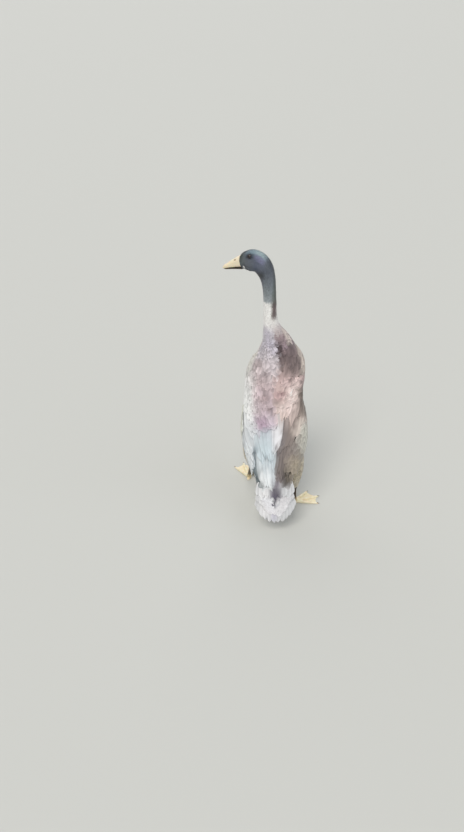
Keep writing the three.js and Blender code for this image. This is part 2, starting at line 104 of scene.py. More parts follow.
def add_node(tree: bpy.types.NodeTree, kind: str, inputs: dict | None = None, **settings) -> bpy.types.Node:
    """Adds a node, gives it its settings, and sets or links its inputs.

    Args:
        tree: the material's node tree.
        kind: the node's type name.
        inputs: for each input's name or index, a constant or the output socket that feeds it.
        settings: the node's own settings.
    Returns:
        the new node.
    """
    node = tree.nodes.new(kind)
    for name, value in settings.items():
        setattr(node, name, value)
    for name, value in (inputs or {}).items():
        if isinstance(value, bpy.types.NodeSocket):
            tree.links.new(value, node.inputs[name])
        else:
            node.inputs[name].default_value = value
    return node


class Barbs(Enum):
    """How plainly the barbs of a feather show, as the depth of their relief in mm."""

    NONE = 0.0
    FINE = 0.05
    PLAIN = 0.12


@dataclass(frozen=True)
class Finish:
    """What every finish shares: the piece's own Tint attribute is its colour."""

    name: str

    def start(self) -> tuple[bpy.types.Material, bpy.types.NodeTree, bpy.types.Node]:
        """Makes a material with nodes.

        Returns:
            the material, its node tree and its shader.
        """
        made = bpy.data.materials.new(self.name)
        made.use_nodes = True
        return made, made.node_tree, made.node_tree.nodes["Principled BSDF"]


@dataclass(frozen=True)
class FeatherFinish(Finish):
    """Keratin feather: matt, soft at its edges, with barbs that run out and forward from the shaft."""

    barbs: Barbs = Barbs.FINE
    barb_pitch: float = 1.1  # mm. Real barbs are 0.4 mm apart, too fine to show, so these are coarser
    barb_slant: float = 1.3  # how far a barb runs forward for each mm that it runs out
    barb_strength: float = 0.6
    roughness: float = 0.72
    sheen: float = 0.25
    gloss: float = 0.3
    mottle: float = 0.07
    patches: float = 90.0  # mottled patches in a metre, so that each is about 11 mm

    def material(self) -> bpy.types.Material:
        """Makes the material: the Tint times a faint mottle, and a sine of the barbs' slant as relief.

        Returns:
            the material.
        """
        made, tree, shader = self.start()
        tint = add_node(tree, "ShaderNodeAttribute", attribute_name="Tint")
        where = add_node(tree, "ShaderNodeTexCoord")
        noise = add_node(tree, "ShaderNodeTexNoise",
                         {"Vector": where.outputs["Object"], "Scale": self.patches, "Detail": 3.0})
        spread = add_node(tree, "ShaderNodeMapRange",
                          {"Value": noise.outputs["Fac"], "From Min": 0.25, "From Max": 0.75,
                           "To Min": 1 - self.mottle, "To Max": 1 + self.mottle})
        toned = add_node(tree, "ShaderNodeVectorMath",
                         {0: tint.outputs["Color"], 1: spread.outputs["Result"]}, operation="MULTIPLY")
        tree.links.new(toned.outputs["Vector"], shader.inputs["Base Color"])
        shader.inputs["Roughness"].default_value = self.roughness
        shader.inputs["Sheen Weight"].default_value = self.sheen
        shader.inputs["Sheen Roughness"].default_value = 0.5
        shader.inputs["Specular IOR Level"].default_value = self.gloss
        if self.barbs is not Barbs.NONE:
            lay = add_node(tree, "ShaderNodeAttribute", attribute_name="Lay")
            parts = add_node(tree, "ShaderNodeSeparateXYZ", {0: lay.outputs["Vector"]})
            aside = add_node(tree, "ShaderNodeMath", {0: parts.outputs["X"]}, operation="ABSOLUTE")
            slant = add_node(tree, "ShaderNodeMath",
                             {0: aside.outputs[0], 1: -self.barb_slant, 2: parts.outputs["Y"]},
                             operation="MULTIPLY_ADD")
            turns = add_node(tree, "ShaderNodeMath",
                             {0: slant.outputs[0], 1: 2 * np.pi / self.barb_pitch}, operation="MULTIPLY")
            wave = add_node(tree, "ShaderNodeMath", {0: turns.outputs[0]}, operation="SINE")
            bump = add_node(tree, "ShaderNodeBump",
                            {"Height": wave.outputs[0], "Distance": self.barbs.value * MM,
                             "Strength": self.barb_strength})
            tree.links.new(bump.outputs["Normal"], shader.inputs["Normal"])
        return made


@dataclass(frozen=True)
class PlainFinish(Finish):
    """Skin, horn or eye: one even colour with a grain of small bumps."""

    roughness: float
    grain: float  # mm across a bump
    relief: float  # mm
    coat: float = 0.0
    coat_roughness: float = 0.08
    subsurface: float = 0.0
    depth: float = 2.0  # mm that light sinks in
    cells: bool = False
    strength: float = 0.5

    def material(self) -> bpy.types.Material:
        """Makes the material, with noise or cells of the grain's size as relief.

        Returns:
            the material.
        """
        made, tree, shader = self.start()
        tint = add_node(tree, "ShaderNodeAttribute", attribute_name="Tint")
        tree.links.new(tint.outputs["Color"], shader.inputs["Base Color"])
        shader.inputs["Roughness"].default_value = self.roughness
        shader.inputs["Coat Weight"].default_value = self.coat
        shader.inputs["Coat Roughness"].default_value = self.coat_roughness
        if self.subsurface:
            shader.inputs["Subsurface Weight"].default_value = self.subsurface
            shader.inputs["Subsurface Scale"].default_value = self.depth * MM
        where = add_node(tree, "ShaderNodeTexCoord")
        kind = "ShaderNodeTexVoronoi" if self.cells else "ShaderNodeTexNoise"
        grain = add_node(tree, kind, {"Vector": where.outputs["Object"], "Scale": 1 / (self.grain * MM)})
        bump = add_node(tree, "ShaderNodeBump",
                        {"Height": grain.outputs[0], "Distance": self.relief * MM,
                         "Strength": self.strength},
                        invert=self.cells)
        tree.links.new(bump.outputs["Normal"], shader.inputs["Normal"])
        return made


class Kind(Enum):
    """Which finish a piece takes."""

    SLEEK = "sleek"
    SOFT = "soft"
    QUILLS = "quills"
    HIDE = "hide"
    EYE = "eye"
    HORN = "horn"
    LEG = "leg"
    CLAW = "claw"


FINISHES: dict[Kind, FeatherFinish | PlainFinish] = {
    # Short feathers that lie flat and close, so the head and neck look like brushed cloth with a sheen.
    Kind.SLEEK: FeatherFinish("sleek head and neck feather", Barbs.NONE, roughness=0.6, sheen=0.3),
    # Loose-edged body feathers: matt, softly lit at the rim, with barbs that can only just be seen.
    Kind.SOFT: FeatherFinish("soft contour feather", Barbs.FINE, mottle=0.1),
    # Stiff vanes of the wings and tail: smoother, with slanting lines on both sides of the shaft.
    Kind.QUILLS: FeatherFinish("stiff quill feather", Barbs.PLAIN, roughness=0.62, sheen=0.18, mottle=0.05),
    # Skin with down on it: dull and uneven, so that it goes dark and quiet between the feathers.
    Kind.HIDE: PlainFinish("bird skin with down", 0.9, grain=1.6, relief=0.3),
    # A wet eye: nearly black, with one soft light in it.
    Kind.EYE: PlainFinish("wet eye", 0.25, grain=3.0, relief=0.0, coat=0.35),
    # Bill horn, smooth by growth: waxy, with a broad soft highlight and light that sinks in a little.
    Kind.HORN: PlainFinish("smooth bill horn", 0.38, grain=2.4, relief=0.06, coat=0.15, subsurface=0.12),
    # Leg skin in small scales: leathery, half glossy, with a fine pebbled light.
    Kind.LEG: PlainFinish("scaled leg skin", 0.5, grain=0.9, relief=0.14, subsurface=0.08, cells=True),
    # Claw horn: dense and dark, a little glossier than the skin beside it.
    Kind.CLAW: PlainFinish("claw horn", 0.4, grain=1.5, relief=0.05),
}


# Meshes


@dataclass
class Piece:
    """Arrays for one mesh: points in mm, faces of four or three corners, and values for each point."""

    points: Array
    faces: list[Array]
    colour: Array
    lay: Array | None = None
    patch: Array | None = None
    rim: Array | None = None

    @staticmethod
    def joined(pieces: list["Piece"]) -> "Piece":
        """Puts several pieces into one, with their faces renumbered.

        Args:
            pieces: the pieces, which all have the same kinds of values.
        Returns:
            the one piece.
        """
        starts = np.cumsum([0] + [len(p.points) for p in pieces[:-1]])
        sizes = sorted({f.shape[1] for p in pieces for f in p.faces})
        faces = [np.concatenate([f + start for p, start in zip(pieces, starts) for f in p.faces
                                 if f.shape[1] == size]) for size in sizes]

        def column(name: str) -> Array | None:
            """All the pieces' values of one name, where they have them."""
            values = [getattr(p, name) for p in pieces]
            return None if any(v is None for v in values) else np.concatenate(values)

        return Piece(column("points"), faces, column("colour"), column("lay"), column("patch"), column("rim"))


def link(name: str, data: bpy.types.ID) -> bpy.types.Object:
    """Makes an object of a mesh, light or camera and links it to the scene.

    Args:
        name: the object's name.
        data: what it shows.
    Returns:
        the object.
    """
    made = bpy.data.objects.new(name, data)
    bpy.context.scene.collection.objects.link(made)
    return made


def make_object(name: str, piece: Piece, origin: Array, material: bpy.types.Material) -> bpy.types.Object:
    """Puts a piece into a mesh object that sits at the origin, in metres.

    Args:
        name: the object's name.
        piece: its arrays, in the duck's own millimetres.
        origin: where the duck's own origin is in the frame, in mm.
        material: its one material.
    Returns:
        the object, linked to the scene.
    """
    mesh = bpy.data.meshes.new(name)
    points = ((piece.points + origin) * MM).astype(np.float32)
    mesh.vertices.add(len(points))
    mesh.vertices.foreach_set("co", points.ravel())
    corners = np.concatenate([f.ravel() for f in piece.faces]).astype(np.int32)
    totals = np.concatenate([np.full(len(f), f.shape[1]) for f in piece.faces])
    mesh.loops.add(len(corners))
    mesh.loops.foreach_set("vertex_index", corners)
    mesh.polygons.add(len(totals))
    mesh.polygons.foreach_set("loop_start", np.concatenate([[0], np.cumsum(totals)[:-1]]).astype(np.int32))
    mesh.update(calc_edges=True)
    mesh.shade_smooth()
    tint(mesh, piece.colour)
    if piece.lay is not None:
        lay = mesh.attributes.new("Lay", "FLOAT_VECTOR", "POINT")
        lay.data.foreach_set("vector", piece.lay.astype(np.float32).ravel())
    if piece.patch is not None:
        mesh.uv_layers.new(name="OFBake").uv.foreach_set(
            "vector", piece.patch[corners].astype(np.float32).ravel())
    if piece.rim is not None:
        ends = np.empty(len(mesh.edges) * 2, np.int32)
        mesh.edges.foreach_get("vertices", ends)
        sharp = piece.rim[ends].reshape(-1, 2).all(1)
        mesh.attributes.new("sharp_edge", "BOOLEAN", "EDGE").data.foreach_set("value", sharp)
    mesh.materials.append(material)
    return link(name, mesh)


def tint(mesh: bpy.types.Mesh, colour: Array) -> None:
    """Gives each point of a mesh its colour, as the Tint attribute.

    Args:
        mesh: the mesh.
        colour: its colours in linear light, one row a point.
    """
    rgba = np.ones((len(mesh.vertices), 4), np.float32)
    rgba[:, :3] = colour
    mesh.color_attributes.new("Tint", "FLOAT_COLOR", "POINT").data.foreach_set("color", rgba.ravel())


def axes_matrix(axes: tuple[Array, Array, Array], at: tuple[float, float, float] | Array) -> Matrix:
    """The matrix of a camera or lamp from its three axes and its place."""
    return Matrix(np.vstack([np.column_stack([*axes, at]), [0, 0, 0, 1]]).tolist())


def unit(vectors: Array) -> Array:
    """Scales vectors to length one."""
    return vectors / np.maximum(np.linalg.norm(vectors, axis=-1, keepdims=True), 1e-9)


def turned(angle: float) -> Array:
    """The matrix of a turn about the upright axis by an angle in degrees."""
    a = np.radians(angle)
    return np.array([[np.cos(a), -np.sin(a), 0], [np.sin(a), np.cos(a), 0], [0, 0, 1]])


def smooth(value: Array, low: float, high: float) -> Array:
    """Rises smoothly from 0 at low to 1 at high: 3t squared less 2t cubed."""
    t = np.clip((value - low) / (high - low), 0, 1)
    return t * t * (3 - 2 * t)


def bell(away: Array) -> Array:
    """A bell curve of a distance counted in its own half widths: e to the power of less its square."""
    return np.exp(-(away**2))


def spot(along: Array, across: Array) -> Array:
    """A flat-topped oval: e to the power of less the fourth powers of two distances in half sizes."""
    return np.exp(-(along**4) - across**4)


def circle(count: int, halfway: bool = False) -> Array:
    """Angles evenly round a circle in radians, from 0 or from half a step on."""
    return (np.arange(count) + 0.5) / count * 2 * np.pi if halfway else \
        np.linspace(0, 2 * np.pi, count, endpoint=False)


def polar(angle: Array, around: Array) -> Array:
    """Directions at an angle from an axis and an angle around it, with that axis last."""
    angle, around = np.broadcast_arrays(angle, around)
    return np.stack([np.sin(angle) * np.cos(around), np.sin(angle) * np.sin(around), np.cos(angle)], -1)


def through(stations: Array, at: Array) -> Array:
    """Values at places between stations: the cubic through them with slopes from their neighbours.

    Args:
        stations: rows of a place followed by values.
        at: places, in an array of any shape.
    Returns:
        the values at each place, as one more axis.
    """
    places, values = stations[:, 0], stations[:, 1:]
    last = len(places) - 1
    i = np.clip(np.searchsorted(places, at, side="left") - 1, 0, last - 1)
    before, after = np.maximum(i - 1, 0), np.minimum(i + 2, last)
    span = places[i + 1] - places[i]
    t = ((at - places[i]) / span)[..., None]
    slope_from = (values[i + 1] - values[before]) * (span / (places[i + 1] - places[before]))[..., None]
    slope_to = (values[after] - values[i]) * (span / (places[after] - places[i]))[..., None]
    return ((2 * t**3 - 3 * t**2 + 1) * values[i] + (t**3 - 2 * t**2 + t) * slope_from
            + (3 * t**2 - 2 * t**3) * values[i + 1] + (t**3 - t**2) * slope_to)


def between(table: Stations | Array, at: Array) -> Array:
    """Each value of a table at places between its rows, with the values as the first axis."""
    return np.moveaxis(through(np.array(table, float), at), -1, 0)


def numbers(rows: int, columns: int) -> Array:
    """The numbers of a grid of points, row by row."""
    return np.arange(rows * columns).reshape(rows, columns)


def looped(grid: Array, axis: int) -> Array:
    """A grid with its first row or column once more at its end, so that its faces close up."""
    return np.concatenate([grid, np.take(grid, [0], axis)], axis)


def cells(grid: Array) -> Array:
    """The quads between neighbours in a grid of point numbers."""
    return np.stack([grid[:-1, :-1], grid[:-1, 1:], grid[1:, 1:], grid[1:, :-1]], -1).reshape(-1, 4)


def faces_in(points: Array, faces: Array, away: Array) -> bool:
    """Whether faces look inwards on the whole: their cross products against directions that point out."""
    a, b, c = (points[faces[:, k]] for k in (0, 1, 2))
    return float(np.einsum("ij,ij->i", np.cross(b - a, c - a), away).sum()) < 0


def closed_tube(rings: Array, colour: Array) -> Piece:
    """A tube through rings of points, closed by a fan to the middle of each end ring.

    Args:
        rings: points, as rings by places round the ring.
        colour: one colour, or one for each point of the rings.
    Returns:
        the tube, with its faces outwards.
    """
    count, sides = rings.shape[:2]
    points = np.concatenate([rings.reshape(-1, 3), rings[:1].mean(1), rings[-1:].mean(1)])
    grid = looped(numbers(count, sides), 1)
    first, last = np.full(sides, count * sides), np.full(sides, count * sides + 1)
    fans = np.concatenate([np.stack([first, grid[0, 1:], grid[0, :-1]], -1),
                           np.stack([last, grid[-1, :-1], grid[-1, 1:]], -1)])
    faces = [cells(grid), fans]
    if faces_in(points, faces[0], points[faces[0][:, 0]] - points.mean(0)):
        faces = [f[:, ::-1] for f in faces]
    if colour.ndim > 1:
        colour = np.concatenate([colour.reshape(-1, 3), colour[:1].mean(1), colour[-1:].mean(1)])
    return Piece(points, faces, np.broadcast_to(colour, points.shape))


# The duck's form


class Form:
    """A closed surface over s and around, from which skin and feathers are raised."""

    step: float = 0.5  # mm of s either way, to measure a slope
    turn_step: float = 0.02  # radians either way
    least: tuple[float, float] = (0.3, 3.0)  # smallest mm for one unit of s and for one radian

    def surface(self, s: Array, around: Array) -> Array:
        """Points on the form."""
        raise NotImplementedError

    def slopes(self, s: Array, around: Array) -> tuple[Array, Array]:
        """How the surface moves over two steps along it, and over two steps round it."""
        return (self.surface(s + self.step, around) - self.surface(s - self.step, around),
                self.surface(s, around + self.turn_step) - self.surface(s, around - self.turn_step))

    def raised(self, s: Array, around: Array, height: Array) -> Array:
        """Points at a height out of the form, along the cross product of its two slopes.

        Args:
            s: lengths along the form.
            around: angles round it.
            height: mm out of its surface.
        Returns:
            the points.
        """
        s, around = np.broadcast_arrays(np.asarray(s, float), np.asarray(around, float))
        out = unit(np.cross(*self.slopes(s, around)))
        return self.surface(s, around) + out * np.asarray(height)[..., None]

    def scale(self, s: Array, around: Array) -> tuple[Array, Array]:
        """Millimetres of surface for one unit of s, and for one radian."""
        along, across = (np.linalg.norm(slope, axis=-1) for slope in self.slopes(s, around))
        return (np.maximum(along / (2 * self.step), self.least[0]),
                np.maximum(across / (2 * self.turn_step), self.least[1]))


@dataclass(frozen=True)
class Body(Form):
    """The body as one swept form from the tail to the bill's root, with the solids' own stations.

    A section is an oval of half width, half depth to the back and half depth to the belly. The depths of
    the trunk's stations are measured in from the straight line of the back.
    """

    carriage: float = 62.0
    tail_tip: tuple[float, float] = (188.0, 35.0)
    squareness: float = 2.25
    # s, half width, depth of the section's middle, depth of the belly, mm to the left, depth of the back
    trunk: Stations = (
        (20, 18, 9.5, 12, 0, 7), (36, 29, 10.5, 16, 0, 6), (60, 39, 13, 26, 0, 5),
        (80, 41, 14, 33, 0, 3), (93, 41, 15, 37, 0, 0), (112, 46, 21, 51, 0, 0),
        (137, 54.5, 33, 79, -1, 0), (166, 65, 46, 106, -2.5, 0), (200, 71.5, 56, 126, -3, 0),
        (240, 68.5, 62, 137, -2.5, 0), (280, 61, 63, 138, -2, 0), (315, 59, 60, 130, -4, 0),
        (345, 59, 54, 115, -9, 0), (370, 53.5, 46, 97, -15.5, 0), (392, 44, 38, 79, -16, 0),
        (412, 33.5, 30, 62, -13, 0),
    )
    # s, half width, half depth to the back, half depth to the front, x, y, z, turn
    neck: Stations = (
        (435, 23, 23.5, 25, -6, -32.5, 408, 0), (459, 16.4, 18.5, 19.5, -1, -33, 432, 0),
        (487, 14.6, 15.6, 16, 0, -31.5, 460, 0), (517, 13.6, 14, 14.4, 1, -29.5, 490, 12),
        (547, 13.8, 14.2, 15.6, 2.5, -29, 520, 30), (567, 14.8, 15.6, 18.5, 5, -29.5, 540, 45),
        (586, 16.8, 18.6, 22, 11.3, -30.9, 559.1, 55), (603, 18.2, 21, 22.5, 20.6, -36, 570.1, 57),
        (620.3, 18.6, 22.6, 24, 34.1, -42.5, 574.6, 57), (637, 16.6, 19.6, 24, 46.2, -49.5, 572.8, 57),
        (646.5, 14.2, 16.2, 19.5, 54.8, -53.9, 568.4, 57), (655, 12, 13.4, 14.5, 60, -57, 564.5, 57),
        (665, 9, 9, 10, 68, -62.5, 561, 57),
    )
    searched: tuple[float, float, float] = (22.0, 664.0, 3.0)  # first s, last s and step of a search
    part: int = 20000  # points looked for at a time
    squeeze: float = 0.6  # share of the angle at which the reach stands for the way to it

    def back_line(self, s: Array, depth: Array) -> Array:
        """Points on the straight line of the back, dropped by a depth into the body.

        Args:
            s: lengths along it.
            depth: the depths.
        Returns:
            the points as y and z.
        """
        slope = np.radians(self.carriage)
        up, out = np.array([-np.cos(slope), np.sin(slope)]), np.array([np.sin(slope), np.cos(slope)])
        return np.array(self.tail_tip) + np.multiply.outer(s, up) - np.multiply.outer(depth, out)

    @property
    def stations(self) -> Array:
        """The sections of trunk and neck in one table.

        Returns:
            rows of s, half width, half depths to back and belly, x, y, z and turn, from tail to bill.
        """
        s, wide, middle, belly, aside, top = np.array(self.trunk, float).T
        y, z = self.back_line(s, middle).T
        rows = np.stack([s, wide, middle - top, belly - middle, aside, y, z, 0 * s], 1)
        return np.concatenate([rows, np.array(self.neck, float)])

    def centre(self, s: Array) -> Array:
        """The middle of the section at s."""
        return through(self.stations, s)[..., 3:6]

    def frame(self, s: Array) -> tuple[Array, Array, Array]:
        """The axes of sections: their left side squared to the way that their middles run.

        Args:
            s: lengths along the body.
        Returns:
            each section's middle, its direction to the left and its direction out of the back.
        """
        values = through(self.stations, s)
        along = unit(self.centre(s + self.step) - self.centre(s - self.step))
        turn = np.radians(values[..., 6])
        left = np.stack([np.cos(turn), np.sin(turn), 0 * turn], -1)
        side = unit(left - along * (left * along).sum(-1, keepdims=True))
        return values[..., 3:6], side, np.cross(along, side)

    def reach(self, s: Array, around: Array) -> Array:
        """Distances from a section's middle to its edge: a squarish oval in polar form.

        Args:
            s: lengths along the body.
            around: angles round it.
        Returns:
            the distances.
        """
        wide, back, belly = between(self.stations, s)[:3]
        deep = np.where(np.cos(around) > 0, back, belly)
        p = self.squareness
        return ((np.abs(np.sin(around)) / wide) ** p + (np.abs(np.cos(around)) / deep) ** p) ** (-1 / p)

    def surface(self, s: Array, around: Array) -> Array:
        """Points on the body: the section's middle, plus its reach at that angle.

        Args:
            s: lengths along the body.
            around: angles round it.
        Returns:
            the points.
        """
        s, around = np.broadcast_arrays(np.asarray(s, float), np.asarray(around, float))
        middle, side, out = self.frame(s)
        far = self.reach(s, around)[..., None]
        return middle + side * far * np.sin(around)[..., None] + out * far * np.cos(around)[..., None]

    def around_at(self, s: Array, t: Array) -> Array:
        """Angles that are lengths over the surface from the middle of the back, in four better guesses.

        Args:
            s: lengths along the body.
            t: lengths over the back.
        Returns:
            the angles.
        """
        around = np.abs(t) / between(self.stations, s)[0]
        for _ in range(4):
            around = np.abs(t) / self.reach(s, around * self.squeeze)
        return around * np.sign(t)

    def locate(self, points: Array) -> tuple[Array, Array]:
        """Finds where points near the body are on it, from the nearest of many section middles.

        Args:
            points: the points, one a row.
        Returns:
            their s and their angles.
        """
        s = np.arange(*self.searched)
        middle, side, out = self.frame(s)
        near = np.concatenate([np.argmin(((some[:, None] - middle[None]) ** 2).sum(-1), 1)
                               for some in np.array_split(points, max(1, len(points) // self.part))])
        away = points - middle[near]
        return s[near], np.arctan2((away * side[near]).sum(-1), (away * out[near]).sum(-1))


@dataclass(frozen=True)
class Thigh(Form):
    """The feathered thigh: level ovals from the hock up to the hip. s is its height share times a length."""

    side: int
    hock: tuple[float, float, float]
    hip: tuple[float, float, float]
    # share of the height, half width, half depth
    sizes: Stations = ((0, 9.5, 11), (0.1, 13.5, 15), (0.32, 21, 24), (0.6, 26, 33), (0.85, 24, 36),
                       (1.05, 16, 30), (1.15, 8, 18))
    length: float = 100.0

    def surface(self, s: Array, around: Array) -> Array:
        """Points on the thigh: an oval's edge round the line from hock to hip.

        Args:
            s: lengths up the thigh.
            around: angles round it.
        Returns:
            the points.
        """
        s, around = np.broadcast_arrays(np.asarray(s, float), np.asarray(around, float))
        share = s / self.length
        across, deep = between(self.sizes, share)
        middle = np.array(self.hock) + share[..., None] * (np.array(self.hip) - np.array(self.hock))
        return middle + np.stack([across * np.sin(around), deep * np.cos(around), 0 * s], -1)


# Markings


class Face(Enum):
    """Which side of the body a mark is on."""

    BACK = "back"
    BOTH = "both"


@dataclass(frozen=True)
class Mark:
    """A soft oval of colour: its middle and half sizes along the body and across it, in mm."""

    colour: str
    s: float
    across: float
    long: float
    wide: float
    strength: float = 1.0
    face: Face = Face.BACK


Band = tuple[tuple[float, str], ...]


@dataclass(frozen=True)
class Markings:
    """The drake's pattern: slate head, white ring, mauve back, silver wings and tail, cream belly.

    Each band is a row of places along the body with the colour there.
    """

    left: Band = (
        (20, "e4e2e6"), (93, "dfe2e6"), (112, "d3dbe0"), (168, "cfdae1"), (196, "ccd0da"),
        (212, "bfb2bf"), (255, "c5b4ba"), (300, "c3b1b4"), (330, "c3b2b4"), (360, "cdc3c6"),
        (392, "c0b9be"), (420, "bcb6c0"), (445, "c9c5cc"), (462, "f0eeec"), (510, "f6f5f2"),
        (516, "a2a8ad"), (535, "868e92"), (556, "767d84"), (580, "5d636d"), (610, "656c80"),
        (640, "616a72"), (660, "4f585b"),
    )
    right: Band = (
        (20, "e2e1e4"), (84, "d6d4d7"), (98, "7f7674"), (150, "857b78"), (195, "91857f"), (222, "cbb9b2"),
        (300, "d4bdb8"), (336, "c2aaa8"), (356, "a89492"), (372, "857674"), (392, "756767"),
        (404, "82737a"), (430, "9d8c8e"), (450, "cfc7c6"), (464, "ece9e6"), (500, "e6e2dd"),
        (507, "62655f"), (540, "5a625e"), (580, "4b5157"), (610, "545d70"), (660, "4d575e"),
    )
    front: Band = (
        (20, "dfdcd8"), (112, "e4e1d6"), (200, "e6e2d6"), (300, "dfd8cd"), (345, "c4aba1"),
        (400, "ab8d86"), (440, "ad9c9a"), (458, "eeebe8"), (506, "edeae8"), (513, "626879"),
        (585, "474b58"), (610, "505a6e"), (660, "485258"),
    )
    marks: tuple[Mark, ...] = (
        Mark("f9fbfa", 262, 72, 74, 30),  # silver edge of the left wing
        Mark("e6d3da", 300, 30, 9, 8, 0.7),
        Mark("8f7b7c", 286, 17, 6, 7, 0.65),
        Mark("937f7e", 309, 12, 6, 8, 0.6),
        Mark("d9ccd2", 268, 33, 9, 8, 0.5),
        Mark("74625f", 257, 10, 8, 5, 0.9),
        Mark("ad97a8", 224, 29, 18, 16, 0.85),  # lavender patch of the left wing
        Mark("dccfd6", 236, 12, 8, 6, 0.6),
        Mark("ffeae5", 288, -43, 46, 17, 0.97),  # cream band down the right wing
        Mark("b99c9e", 294, -11, 14, 11, 0.75),
        Mark("8c6e70", 303, -13, 5, 8, 0.65),
        Mark("e6d6d2", 262, -14, 13, 9, 0.7),
        Mark("5e5448", 276, -87, 52, 42, 1.0, Face.BOTH),  # brown edge of the right wing
        Mark("ecdcd2", 226, -72, 11, 14, 0.95),
        Mark("ecdcd2", 209, -58, 11, 11, 0.95),
        Mark("e6d7cd", 194, -46, 9, 8, 0.9),
        Mark("f3f2f6", 184, -4, 28, 13, 0.97),  # pale inner feather of the right wing
        Mark("62585a", 206, -20, 15, 2.8, 0.85),
        Mark("5f5658", 172, -16, 12, 3.2, 0.8),
        Mark("5f5658", 152, -6, 12, 3.2, 0.8),
        Mark("e6eaee", 172, 62, 66, 20, 0.9),
        Mark("cfdde4", 145, 25, 26, 20, 0.8),
        Mark("6b7b86", 136, 46.5, 33, 4.4, 0.9),
        Mark("7f909a", 126, 22, 15, 4.0, 0.8),
        Mark("4d5a5e", 97, 39, 22, 9, 0.95),
        Mark("f2f5f7", 90, 24, 20, 12, 0.95),
        Mark("494441", 100, -32, 22, 9, 0.95),
        Mark("746d78", 75, -4, 22, 17, 0.9),  # purple root of the tail
        Mark("3a3644", 54, -1, 8, 8, 0.9),
        Mark("2b2836", 45, 7, 10, 4.5, 0.95),
        Mark("6c6566", 130, -52, 22, 5, 0.5),
        Mark("d2d1c6", 185, -92, 38, 34, 1.0, Face.BOTH),  # flank and thigh below the right wing
        Mark("b0a490", 116, -76, 32, 38, 0.97, Face.BOTH),
        Mark("e6eacf", 240, 108, 58, 20, 0.9, Face.BOTH),
        Mark("463a3c", 406, -3, 11, 6.5, 0.95),  # taupe patch of the upper back
        Mark("5d5357", 405, -34, 6, 9, 0.8),
        Mark("716364", 386, -18, 15, 20, 0.7),
        Mark("6b5d5e", 394, -12, 9, 5, 0.7),
        Mark("d5c9be", 380, -62, 24, 12, 0.9),
        Mark("d5cac1", 424, -34, 18, 9, 0.8),
        Mark("8a7575", 343, -4, 6, 6, 0.7),
        Mark("8f7b79", 336, -33, 7, 6, 0.6),
        Mark("e6cfcb", 344, -46, 9, 8, 0.7),
        Mark("e0c8c6", 327, -20, 8, 7, 0.7),
        Mark("d3d3ce", 348, 70, 24, 11, 0.85),
        Mark("a59798", 362, 46, 15, 13, 0.8),
        Mark("cfccc2", 378, 86, 36, 24, 0.85, Face.BOTH),
        Mark("bfb9c6", 428, 15, 28, 8, 0.7),
        Mark("a39396", 345, 24, 7, 6, 0.6),
        Mark("ae9ea0", 322, 30, 8, 8, 0.6),
        Mark("f0e4e4", 336, 8, 10, 7, 0.7),
        Mark("5f4f50", 493, -8, 20, 7, 0.95),  # brown streak through the ring
        # painted sheen: the sky's light on the crown's feathers
        Mark("a6bcbf", 611, 0, 13, 11, 0.8),  # sheen of the crown
        # painted sheen: bluish light on the forehead
        Mark("8aa6b4", 624, 6, 9, 9, 0.6),
        # painted sheen: violet light on the side of the crown behind the eye
        Mark("7f809e", 605, 14, 10, 6, 0.7),
        Mark("565c5f", 590, 8, 7, 7, 0.5),
        Mark("6d7678", 641, 24, 9, 12, 0.8),
        Mark("26303b", 624, 17.5, 7.5, 6.5, 0.85, Face.BOTH),  # dark round the eyes
        Mark("26303b", 624, -17.5, 7.5, 6.5, 0.85, Face.BOTH),
        Mark("26352b", 645, 7, 6, 12, 0.85),
        Mark("454a51", 588, -2, 8, 7, 0.6),
        Mark("6d727a", 624, 34, 15, 12, 0.55, Face.BOTH),
        Mark("f5f3f0", 647, 36, 3.0, 4.0, 0.97, Face.BOTH),  # white fleck by the bill
        Mark("33373a", 577, 33, 9, 11, 0.8, Face.BOTH),
    )
    tail: tuple[Mark, ...] = (
        Mark("cbc8d8", 40, 4, 40, 8, 0.7),
        Mark("eeedef", 50, 24, 60, 13, 0.8),
        Mark("68626d", 68, -1, 18, 13, 0.95),
        Mark("5a5466", 58, 0, 8, 9, 0.8),
        Mark("2b2836", 43, 4.9, 12, 3.6, 1.0),
        Mark("7d8086", 8, 21, 6, 3, 0.6),
    )
    tail_base: str = "d2d3d5"
    ragged: float = 5.0  # mm that the edges of the marks wander
    ragged_across: float = 0.6  # share of it that they wander across the body
    neck: float = 440.0  # s from which the edges wander less
    neck_ragged: float = 0.25  # and how much of it is left there
    blotched: float = 0.38  # how strongly the back is blotched
    blotches_in: tuple[float, float] = (205.0, 260.0)
    blotches_out: tuple[float, float] = (400.0, 450.0)
    seam: tuple[float, float] = (-7.0, 5.0)  # mm over which the right band gives way to the left one
    turn_to_belly: tuple[float, float] = (-0.45, 0.2)  # the angle's cosine, from the front band to these

    def band(self, row: Band, s: Array) -> Array:
        """Colours along one band, by straight lines between its places.

        Args:
            row: the band.
            s: lengths along the body.
        Returns:
            the colours.
        """
        places = [place for place, _ in row]
        colours = np.array([linear(colour) for _, colour in row])
        return np.stack([np.interp(s, places, colours[:, k]) for k in range(3)], -1)

    def laid(self, colour: Array, marks: tuple[Mark, ...], along: Array, across: Array,
             to_back: Array) -> Array:
        """Lays marks on a colour, each by a flat-topped oval of its two distances.

        Args:
            colour: the colours so far.
            marks: what is laid on them, in order.
            along: lengths along the body.
            across: lengths across it.
            to_back: how far each place faces the back, from 0 to 1.
        Returns:
            the colours.
        """
        for mark in marks:
            weight = spot((along - mark.s) / mark.long, (across - mark.across) / mark.wide)
            weight = (weight * mark.strength)[..., None]
            if mark.face is Face.BACK:
                weight = weight * to_back
            colour = colour * (1 - weight) + linear(mark.colour) * weight
        return colour

